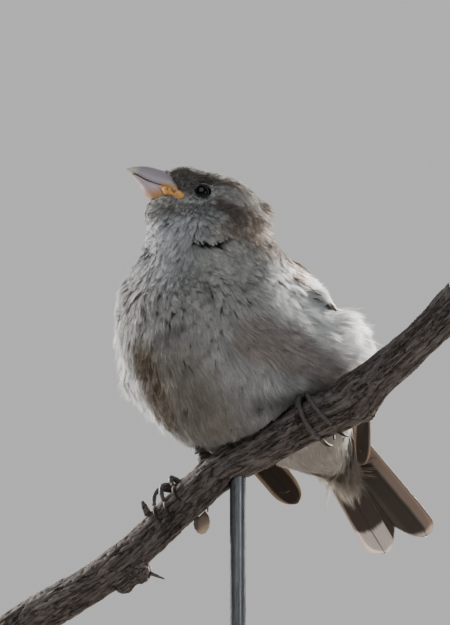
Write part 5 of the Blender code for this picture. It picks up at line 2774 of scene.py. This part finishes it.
@dataclass
class Perch:
    """The cut branch: its route, knots, bark and snapped twigs."""

    route = (
        (-61.7, 38.0, 42.6), (-50.0, 32.1, 49.8), (-40.9, 27.4, 54.7), (-31.8, 22.7, 59.8),
        (-21.5, 17.1, 67.5), (-11.3, 11.2, 76.9), (-1.2, 5.5, 85.5), (8.7, 0.2, 90.5),
        (18.5, -5.0, 95.7), (28.3, -10.2, 99.9), (33.1, -12.9, 103.3), (37.9, -15.8, 107.4),
        (47.4, -21.4, 115.2), (57.7, -27.8, 125.1),
    )
    radii = (5.1, 5.3, 5.2, 5.0, 4.8, 4.7, 5.1, 4.9, 5.3, 5.9, 6.2, 5.0, 4.6, 5.1)
    thickest: float = 6.5
    samples: int = 53
    fine_samples: int = 105
    voxel: float = 0.4
    roughness: float = 0.55
    bark: Triple = (112, 102, 96)
    wood: Triple = (188, 168, 146)
    flake_skin: Triple = (128, 108, 90)
    flake_edge: Triple = (206, 184, 156)
    flake_voxel: float = 0.22
    stubs = (
        Stub(4.55, 70, 4.6, (1.0, 0.9, 0.8, 0.35), (-1.2, -0.6, 2.6)),
        Stub(3.85, 280, 6.2, (0.6, 0.5, 0.4, 0.12), (3.4, -0.8, -1.4)),
        Stub(5.9, 92, 6.8, (1.6, 1.3, 0.9, 0.3), (-0.6, -0.2, 2.2)),
        Stub(5.1, 262, 4.3, (0.7, 0.6, 0.5, 0.45), (0.0, -0.3, -2.4)),
    )

    @classmethod
    def at(cls, spot_on: float) -> Array:
        """A point on the branch's middle line, in mm."""
        return catmull_rom(cls.route, spot_on)

    @classmethod
    def radius(cls, spot_on: float) -> float:
        """The branch's radius in mm at a place along it."""
        return float(np.interp(spot_on, range(len(cls.radii)), cls.radii))

    @classmethod
    def round(cls, spot_on: float, angle: float, out: float) -> Array:
        """A point round the branch.

        Args:
            spot_on: Place along it, in route points.
            angle: 0 on the near side, 90 on top.
            out: Distance from its middle in mm.

        Returns:
            The point in mm.
        """
        along = unit(cls.at(spot_on + 0.1) - cls.at(spot_on - 0.1))
        near = unit(np.array((0, -1.0, 0)) + along * along[1])
        top = np.cross(near, along)
        turn = math.radians(angle)
        return cls.at(spot_on) + (near * math.cos(turn) + top * math.sin(turn)) * out

    @classmethod
    def away(cls, points: Array) -> tuple[Array, Array, Array]:
        """How points lie to the branch.

        Args:
            points: World points in mm.

        Returns:
            Each point's way from the branch's middle line, its distance and the radius there.
        """
        spots = np.linspace(0, len(cls.route) - 1, cls.samples)
        line = np.array([cls.at(s) for s in spots])
        radii = np.array([cls.radius(s) for s in spots])
        far = np.full(len(points), np.inf)
        way = np.zeros((len(points), 3))
        size = np.zeros(len(points))
        for a, b, r0, r1 in zip(line, line[1:], radii, radii[1:]):
            t, gap = nearest(points, a, b)
            distance = np.linalg.norm(gap, axis=1)
            nearer = distance < far
            far = np.where(nearer, distance, far)
            way[nearer] = gap[nearer]
            size = np.where(nearer, r0 + (r1 - r0) * t, size)
        return unit(way), far, size

    @classmethod
    def unbent(cls, points: Array) -> Array:
        """Straightens the branch.

        Args:
            points: World points in mm.

        Returns:
            Their places on a straight branch: along it, near and up, in mm.
        """
        spots = np.linspace(0, len(cls.route) - 1, cls.fine_samples)
        line = np.array([cls.at(s) for s in spots])
        steps = np.linalg.norm(np.diff(line, axis=0), axis=1)
        length = np.concatenate(((0.0,), np.cumsum(steps)))
        far = np.full(len(points), np.inf)
        found = np.zeros((len(points), 3))
        for start, end, run, reached in zip(line, line[1:], steps, length):
            along = (end - start) / run
            near = unit(np.array((0, -1.0, 0)) + along * along[1])
            t = np.clip((points - start) @ along, 0, run)
            gap = points - start - t[:, None] * along
            distance = np.linalg.norm(gap, axis=1)
            nearer = distance < far
            far = np.where(nearer, distance, far)
            rows = np.stack((reached + t, gap @ near, gap @ np.cross(near, along)), axis=1)
            found[nearer] = rows[nearer]
        return found

    @classmethod
    def distance(cls, points: Array) -> Array:
        """How far points are from the branch's surface, in mm."""
        _, far, size = cls.away(points)
        return far - size

    @classmethod
    def distance_fast(cls, points: Array) -> Array:
        """About how far points are from the branch.

        Args:
            points: World points in mm.

        Returns:
            Their distance in mm from straight stretches as thick as its thickest knot.
        """
        line = np.array(cls.route)
        gaps = [nearest(points, a, b)[1] for a, b in zip(line, line[1:])]
        return np.min([np.linalg.norm(gap, axis=1) for gap in gaps], axis=0) - cls.thickest

    def build(self, finish: Material, flake_finish: Material) -> None:
        """Builds and shows the branch, its bud scale and its twigs.

        Args:
            finish: The bark's material.
            flake_finish: The bud scale's material.
        """
        show(self.branch(), finish, ("perch",))
        show(self.twigs(), finish)
        show(self.flake(), flake_finish, ("bud_scale",))

    def branch(self) -> Object:
        """The branch with its bark cut into it.

        Returns:
            The piece.
        """
        made = node_copy("branch", "perch")
        remesh(made, self.voxel, 1)
        points, facing = coordinates(made.data), normals(made.data)
        straight = self.unbent(points)
        squeezed = straight * (0.2, 1.0, 1.0)
        cracks = 1 - np.abs(wave(squeezed, 0.95, (7, 3, 1)))
        height = 0.55 * wave(squeezed, 0.6) - 0.8 * np.clip(cracks - 0.84, 0, 1) / 0.16
        height = height + 0.35 * wave(straight, 0.3) + 0.4 * wave(squeezed, 1.7, (1, 5, 9))
        height = np.clip(height - 0.25, -1.6, 0.35) * self.roughness
        place(made.data, points + facing * height[:, None])
        made.data.shade_smooth()
        # Painted light and shade: the tint is lighter on raised ridges and darker in sunken cracks.
        tone = 1 + 0.6 * np.clip(height / self.roughness + 0.3, -1, 0.6)
        along = unit(np.array(self.route[-1]) - np.array(self.route[0]))
        lengthwise = points @ along
        ends = np.abs(facing @ along) * step(np.abs(lengthwise - lengthwise.mean()), 70, 74)
        colour = plain(self.bark, len(points)) * tone[:, None]
        paint(made.data, Markings.lay(colour, self.wood, np.clip(ends * 1.4 - 0.5, 0, 1)))
        store(made.data, "Straight", straight * MM)
        return made

    def twigs(self) -> Object:
        """Short snapped twigs and thorns.

        Returns:
            One piece with all of them.
        """
        bm = bmesh.new()
        for stub in self.stubs:
            start = self.round(stub.place, stub.angle, stub.base)
            shares = (k / 3 * (1 + 0.1 * k) for k in range(len(stub.radii)))
            points = [Vector((start + np.array(stub.lean) * share) * MM) for share in shares]
            add_tube(bm, points, list(stub.radii), 10)
        made = from_bmesh(bm, "twig_stubs")
        points = coordinates(made.data)
        store(made.data, "Straight", self.unbent(points) * MM)
        paint(made.data, plain(self.bark, len(points)))
        return made

    def flake(self) -> Object:
        """The pale bud scale that hangs under the branch.

        Returns:
            The piece.
        """
        made = node_copy("bud_flake", "bud_scale")
        remesh(made, self.flake_voxel, 1)
        points = coordinates(made.data)
        place(made.data, points + normals(made.data) * (wave(points, 0.8) * 0.12)[:, None])
        rim = step(self.distance(points), 1.5, 4.5)
        paint(made.data, Markings.lay(plain(self.flake_skin, len(points)), self.flake_edge, rim))
        return made


@dataclass(frozen=True)
class Toe:
    """Where one toe lies on the branch.

    Attributes:
        start: Place of its root along the branch, in route points.
        angle: Its root's angle round the branch, 0 on the near side and 90 on top.
        end: Place of its tip.
        end_angle: Its tip's angle.
        drift: How far along the branch the claw goes on.
    """

    start: float
    angle: float
    end: float
    end_angle: float
    drift: float


@dataclass
class Foot:
    """A shank with four scaled toes and their claws."""

    side: Side
    ankle: Triple
    toes: dict[str, Toe]
    arch: float
    claw_reach: float
    claw_lift: float
    toe_radii: Pair = (0.78, 0.56)
    claw_radii: tuple[float, ...] = (0.62, 0.5, 0.34, 0.15)
    shank: float = 1.05
    scale_skin: Triple = (84, 75, 72)
    claw_horn: Triple = (40, 34, 32)
    claw_root: Triple = (150, 128, 112)
    joints: tuple[float, ...] = (0.12, 0.45, 0.78, 1.0)
    voxel: float = 0.16
    shank_rings: int = 26
    toe_rings: int = 30
    claw_rings: int = 16

    def toe_line(self, toe: str, steps: int) -> list[Vector]:
        """The toe's middle line from its root on top to its claw.

        Args:
            toe: The toe's name.
            steps: How many points the line has.

        Returns:
            The points in metres.
        """
        plan = self.toes[toe]
        points = []
        for i in range(steps):
            t = i / (steps - 1)
            where, angle = mix(plan.start, plan.end, t), mix(plan.angle, plan.end_angle, t)
            out = Perch.radius(where) + self.toe_radii[0] + self.arch * math.sin(math.pi * t)
            points.append(Vector(Perch.round(where, angle, out) * MM))
        return points

    def claw_line(self, toe: str, steps: int) -> list[Vector]:
        """The claw's middle line, going on round the branch.

        Args:
            toe: The toe's name.
            steps: How many points the line has.

        Returns:
            The points in metres.
        """
        plan = self.toes[toe]
        sign = 1 if plan.end_angle > plan.angle else -1
        points = []
        for i in range(steps):
            t = i / (steps - 1)
            out = Perch.radius(plan.end) + self.toe_radii[1] + 0.6 * math.sin(math.pi * t)
            out += self.claw_lift * t**1.5
            turn = plan.end_angle + sign * (9 + self.claw_reach * t)
            points.append(Vector(Perch.round(plan.end + plan.drift * t, turn, out) * MM))
        return points

    def build(self, finish: Material, horn: Material) -> None:
        """Builds and shows the leg and its claws.

        Args:
            finish: The scaled skin's material.
            horn: The claws' material.
        """
        show(self.leg(), finish, ("leg_" + self.side.word,))
        for toe in self.toes:
            show(self.claw(toe), horn, (f"claw_{self.side.word}_{toe}",))

    def leg(self) -> Object:
        """The shank and the toes, melted into one.

        Returns:
            The piece.
        """
        bm = bmesh.new()
        pad = sum((self.toe_line(toe, 7)[0] for toe in self.toes), Vector()) / len(self.toes)
        heel = Vector(self.ankle) * MM
        line, radii = [], []
        for i in range(self.shank_rings):
            t = i / (self.shank_rings - 1)
            line.append(pad.lerp(heel, t))
            radii.append(self.shank * (1.05 - 0.2 * math.sin(math.pi * t)) * self.scute(i, 3))
        add_tube(bm, line, radii, 16)
        for toe in self.toes:
            radii = [self.toe_radii[0]]
            for i in range(self.toe_rings):
                t = i / (self.toe_rings - 1)
                joint = 0.10 * max(math.exp(-(((t - f) / 0.07) ** 2)) for f in self.joints)
                radii.append((mix(*self.toe_radii, t) - 0.04 + joint) * self.scute(i, 2))
            add_tube(bm, [pad] + self.toe_line(toe, self.toe_rings), radii, 16)
        made = from_bmesh(bm, "foot_" + self.side.word)
        remesh(made, self.voxel, 1)
        points = coordinates(made.data)
        wear = 1 + 0.25 * wave(points, 1.1)
        paint(made.data, plain(self.scale_skin, len(points)) * wear[:, None])
        return made

    def claw(self, toe: str) -> Object:
        """One toe's claw.

        Args:
            toe: The toe's name.

        Returns:
            The piece.
        """
        bm = bmesh.new()
        line = self.claw_line(toe, self.claw_rings)
        table = tuple((i / 3, radius) for i, radius in enumerate(self.claw_radii))
        radii = [read_table(table, i / (self.claw_rings - 1)) for i in range(self.claw_rings)]
        add_tube(bm, line, radii, 14)
        made = from_bmesh(bm, f"nail_{self.side.word}_{toe}")
        far = np.linalg.norm(coordinates(made.data) - np.array(line[0]) / MM, axis=1)
        root = step(far, 2.2, 0.2) * 0.6
        paint(made.data, Markings.lay(plain(self.claw_horn, len(far)), self.claw_root, root))
        return made

    @staticmethod
    def scute(i: int, every: int) -> float:
        """The width of a ring of horn plates at step i, with a groove after each."""
        return 0.955 if i % every == 0 else 1.0


@dataclass
class Stand:
    """A turned round base with one steel rod."""

    radius: float = 48.0
    thickness: float = 9.0
    rod_place: Pair = (3.2, 2.9)
    rod_radius: float = 2.0
    rod_top: float = 87.0

    def build(self, wood: Material, steel: Material) -> None:
        """Builds and shows the base, and finishes the rod."""
        show(self.base(), wood, ("stand_base",))
        show(self.rod(), steel, ("stand_rod",))

    @staticmethod
    def turned(name: str, profile: tuple[Pair, ...], centre: Pair, steps: int) -> Object:
        """Spins a profile round an upright line.

        Args:
            name: The piece's name.
            profile: Radius and height in mm, from the middle of one end to that of the other.
            centre: Where the line stands.
            steps: Faces round.

        Returns:
            The piece.
        """
        bm = bmesh.new()
        middle = Vector((*centre, 0)) * MM
        verts = [bm.verts.new(middle + Vector((r, 0, z)) * MM) for r, z in profile]
        edges = [bm.edges.new(pair) for pair in zip(verts, verts[1:])]
        bmesh.ops.spin(
            bm,
            geom=verts + edges,
            cent=middle,
            axis=(0, 0, 1),
            angle=math.tau,
            steps=steps,
            use_merge=True,
        )
        bmesh.ops.remove_doubles(bm, verts=bm.verts, dist=0.001 * MM)
        made = from_bmesh(bm, name)
        made.data.set_sharp_from_angle(angle=math.radians(35))
        return made

    def base(self) -> Object:
        """The base: a rounded foot, a cove and a flat top.

        Returns:
            The piece.
        """
        r, h = self.radius, self.thickness
        profile = [(0.0, 0.0), (r - 1.0, 0.0), (r - 0.25, 0.25), (r, 1.0), (r, 3.6)]
        profile += [(r - 0.3, 4.2), (r - 1.2, 4.5), (r - 1.3, 5.0)]
        for i in range(9):
            a = math.pi / 2 * i / 8
            profile.append((r - 4.6 + 3.3 * math.cos(a), 5.0 + (h - 5.0) * math.sin(a)))
        profile += [(r - 12, h), (8.0, h), (0.0, h)]
        return self.turned("plinth", tuple(profile), (0, 0), 144)

    def rod(self) -> Object:
        """The rod, let into the base.

        Returns:
            The piece.
        """
        r, h, top = self.rod_radius, self.thickness, self.rod_top
        profile = ((0.0, h - 3.0), (r, h - 3.0), (r, h), (r, top - 0.6), (r - 0.6, top), (0.0, top))
        return self.turned("rod", profile, self.rod_place, 48)


# ---------------------------------------------------------------- studio


@dataclass(frozen=True)
class Lamp:
    """A square softbox.

    Attributes:
        name: The lamp's name.
        at: Where it stands, in mm.
        size: Its width in mm.
        power: Its power in watts.
        colour: Its colour.
    """

    name: str
    at: Triple
    size: float
    power: float
    colour: Triple


@dataclass
class Studio:
    """The pale floor, soft lights and the camera, which looks up a little."""

    look_at: Triple = (0.0, 0.0, 125.0)
    distance: float = 800.0
    elevation: float = -8.0
    field: float = 156.25
    backdrop: Triple = (196, 197, 196)
    daylight: Triple = (188, 196, 206)
    floor_size: float = 6000.0
    aim: Triple = (0.0, 0.0, 130.0)
    sensor: float = 36.0
    lamps: tuple[Lamp, ...] = (
        Lamp("key", (350, 410, 330), 240, 27.0, (1.0, 0.985, 0.96)),
        Lamp("rim", (-400, 330, 260), 240, 8.0, (1.0, 0.98, 0.96)),
        Lamp("fill", (-160, -620, 560), 600, 2.7, (0.86, 0.93, 1.0)),
        Lamp("glint", (420, -560, 160), 60, 0.3, (0.86, 0.92, 1.0)),
    )

    def build(self) -> None:
        """Sets everything up."""
        self.camera()
        self.floor()
        self.world()
        for lamp in self.lamps:
            data = bpy.data.lights.new(lamp.name, "AREA")
            data.size, data.energy, data.color = lamp.size * MM, lamp.power, lamp.colour
            self.mount(lamp.name, data, Vector(lamp.at), Vector(self.aim) - Vector(lamp.at))

    @staticmethod
    def mount(name: str, data: bpy.types.ID, where: Vector, aim: Vector) -> Object:
        """Puts a camera or a lamp in the scene.

        Args:
            name: Its name.
            data: The camera or lamp.
            where: Its place in mm.
            aim: The way it looks.

        Returns:
            Its object.
        """
        made = new_object(name, data)
        made.location = where * MM
        made.rotation_mode = "QUATERNION"
        made.rotation_quaternion = aim.normalized().to_track_quat("-Z", "Y")
        return made

    def camera(self) -> None:
        """The camera at the pose's viewing angle."""
        tilt = math.radians(self.elevation)
        data = bpy.data.cameras.new("camera")
        data.sensor_width = self.sensor
        data.lens = self.sensor * self.distance / self.field
        data.clip_start, data.clip_end = 0.05, 20.0
        back = Vector((0, -math.cos(tilt), math.sin(tilt)))
        where = Vector(self.look_at) + back * self.distance
        bpy.context.scene.camera = self.mount("camera", data, where, -back)

    def floor(self) -> None:
        """A wide pale floor with a faint grain, which shows darker than it lights."""
        bm = bmesh.new()
        bmesh.ops.create_circle(bm, cap_ends=True, segments=96, radius=self.floor_size * MM)
        made = from_bmesh(bm, "floor", smooth=False)
        material, wires, shader = Finish("floor", 0.9).start()
        grain = wires.speckle(Finish.place(wires), 60.0)
        colour = wires.blend(grain, srgb(206, 206, 204), srgb(214, 214, 212))
        seen = wires.add("LightPath").outputs["Is Camera Ray"]
        wires.feed(shader, {"Base Color": wires.blend(seen, srgb(126, 124, 122), colour)})
        made.data.materials.append(material)

    def world(self) -> None:
        """A pale even surround, which lights the model less than it shows."""
        world = bpy.data.worlds.new("studio")
        bpy.context.scene.world = world
        world.use_nodes = True
        wires = Nodes(world.node_tree)
        shown = wires.add("LightPath").outputs["Is Camera Ray"]
        colour = wires.blend(shown, srgb(*self.daylight), srgb(*self.backdrop))
        strength = wires.math("MULTIPLY_ADD", shown, 0.75, 0.25)
        wires.feed(world.node_tree.nodes["Background"], {"Color": colour, "Strength": strength})

# ---------------------------------------------------------------- the whole model


LEFT_TOES = {
    "inner": Toe(8.34, 86, 8.26, 40, -0.04),
    "middle": Toe(8.28, 84, 8.42, -50, 0.06),
    "outer": Toe(8.42, 86, 8.85, -28, 0.1),
    "hind": Toe(8.36, 104, 8.42, 190, 0.0),
}
RIGHT_TOES = {
    "inner": Toe(5.24, 116, 5.24, 66, 0.0),
    "middle": Toe(5.12, 114, 4.97, 46, -0.04),
    "outer": Toe(5.04, 118, 4.76, 62, -0.04),
    "hind": Toe(5.20, 130, 5.26, 182, 0.0),
}


def main() -> None:
    """Builds every piece in order."""
    logging.basicConfig(level=logging.INFO, format="%(name)s %(message)s")
    Studio().build()
    groups = Groups()
    markings = Markings()
    skin = Skin(markings)
    under = PlumageFinish("skin_under_feathers", 0.9, mottle=0.2, sheen=0.1)
    show(skin.build(), under.make(groups), ("head", "neck", "trunk"))
    feather = PlumageFinish("contour_feathers", 0.85, mottle=0.16, sheen=0.3, glow=0.3).make(groups)
    for piece in Coat(skin, markings).build():
        show(piece, feather)
    vanes: dict[str, Material] = {}
    for side in Side:
        for piece, material in Wing(side).build(groups, vanes):
            replaced = ("wing_" + side.word,) if piece.name.endswith("primaries") else ()
            show(piece, material, replaced)
    for piece, material in Tail().build(groups):
        replaced = ("tail",) if piece.name == "tail_feathers" else ()
        show(piece, material, replaced)
    horn = HornFinish(
        "bill_horn", 0.36, broad=240.0, fine=2600.0, mottle=0.12, cell_depth=0.03, coat=0.25
    )
    gape = HornFinish(
        "gape_skin", 0.42, broad=400.0, fine=3000.0, mottle=0.14, cell_depth=0.04, coat=0.2
    )
    Bill().build(horn.make(groups), gape.make(groups))
    wet = EyeFinish("wet_eye", 0.05).make(groups)
    lids = HornFinish(
        "lid_skin", 0.6, broad=900.0, fine=4000.0, mottle=0.2, cells=2600.0, cell_depth=0.04
    ).make(groups)
    for side in Side:
        Eye(side).build(wet, lids)
    flake = HornFinish("bud_scale", 0.75, broad=300.0, fine=2400.0, mottle=0.2, cell_depth=0.08)
    Perch().build(BarkFinish("bark", 0.9).make(groups), flake.make(groups))
    scales = HornFinish(
        "leg_scales", 0.5, broad=500.0, fine=2600.0, mottle=0.25, cells=1500.0, cell_depth=0.06
    ).make(groups)
    nails = HornFinish(
        "claw_horn", 0.62, broad=500.0, fine=3000.0, mottle=0.2, cell_depth=0.03, shine=0.2
    ).make(groups)
    for foot in (
        Foot(Side.LEFT, (23.0, -1.0, 106.0), LEFT_TOES, arch=0.4, claw_reach=34, claw_lift=1.4),
        Foot(Side.RIGHT, (-3.0, 17.0, 89.0), RIGHT_TOES, arch=1.5, claw_reach=52, claw_lift=0.5),
    ):
        foot.build(scales, nails)
    lacquer = TurnedFinish(
        "lacquered_wood", 0.35, (44, 39, 36), grain=(1.0, 8.0, 8.0), strength=0.35, coat=0.35
    )
    steel = TurnedFinish(
        "brushed_steel", 0.34, (132, 132, 134), grain=(8.0, 8.0, 0.4), strength=0.15, metallic=1.0
    )
    Stand().build(lacquer.make(groups), steel.make(groups))


if __name__ == "__main__":
    main()
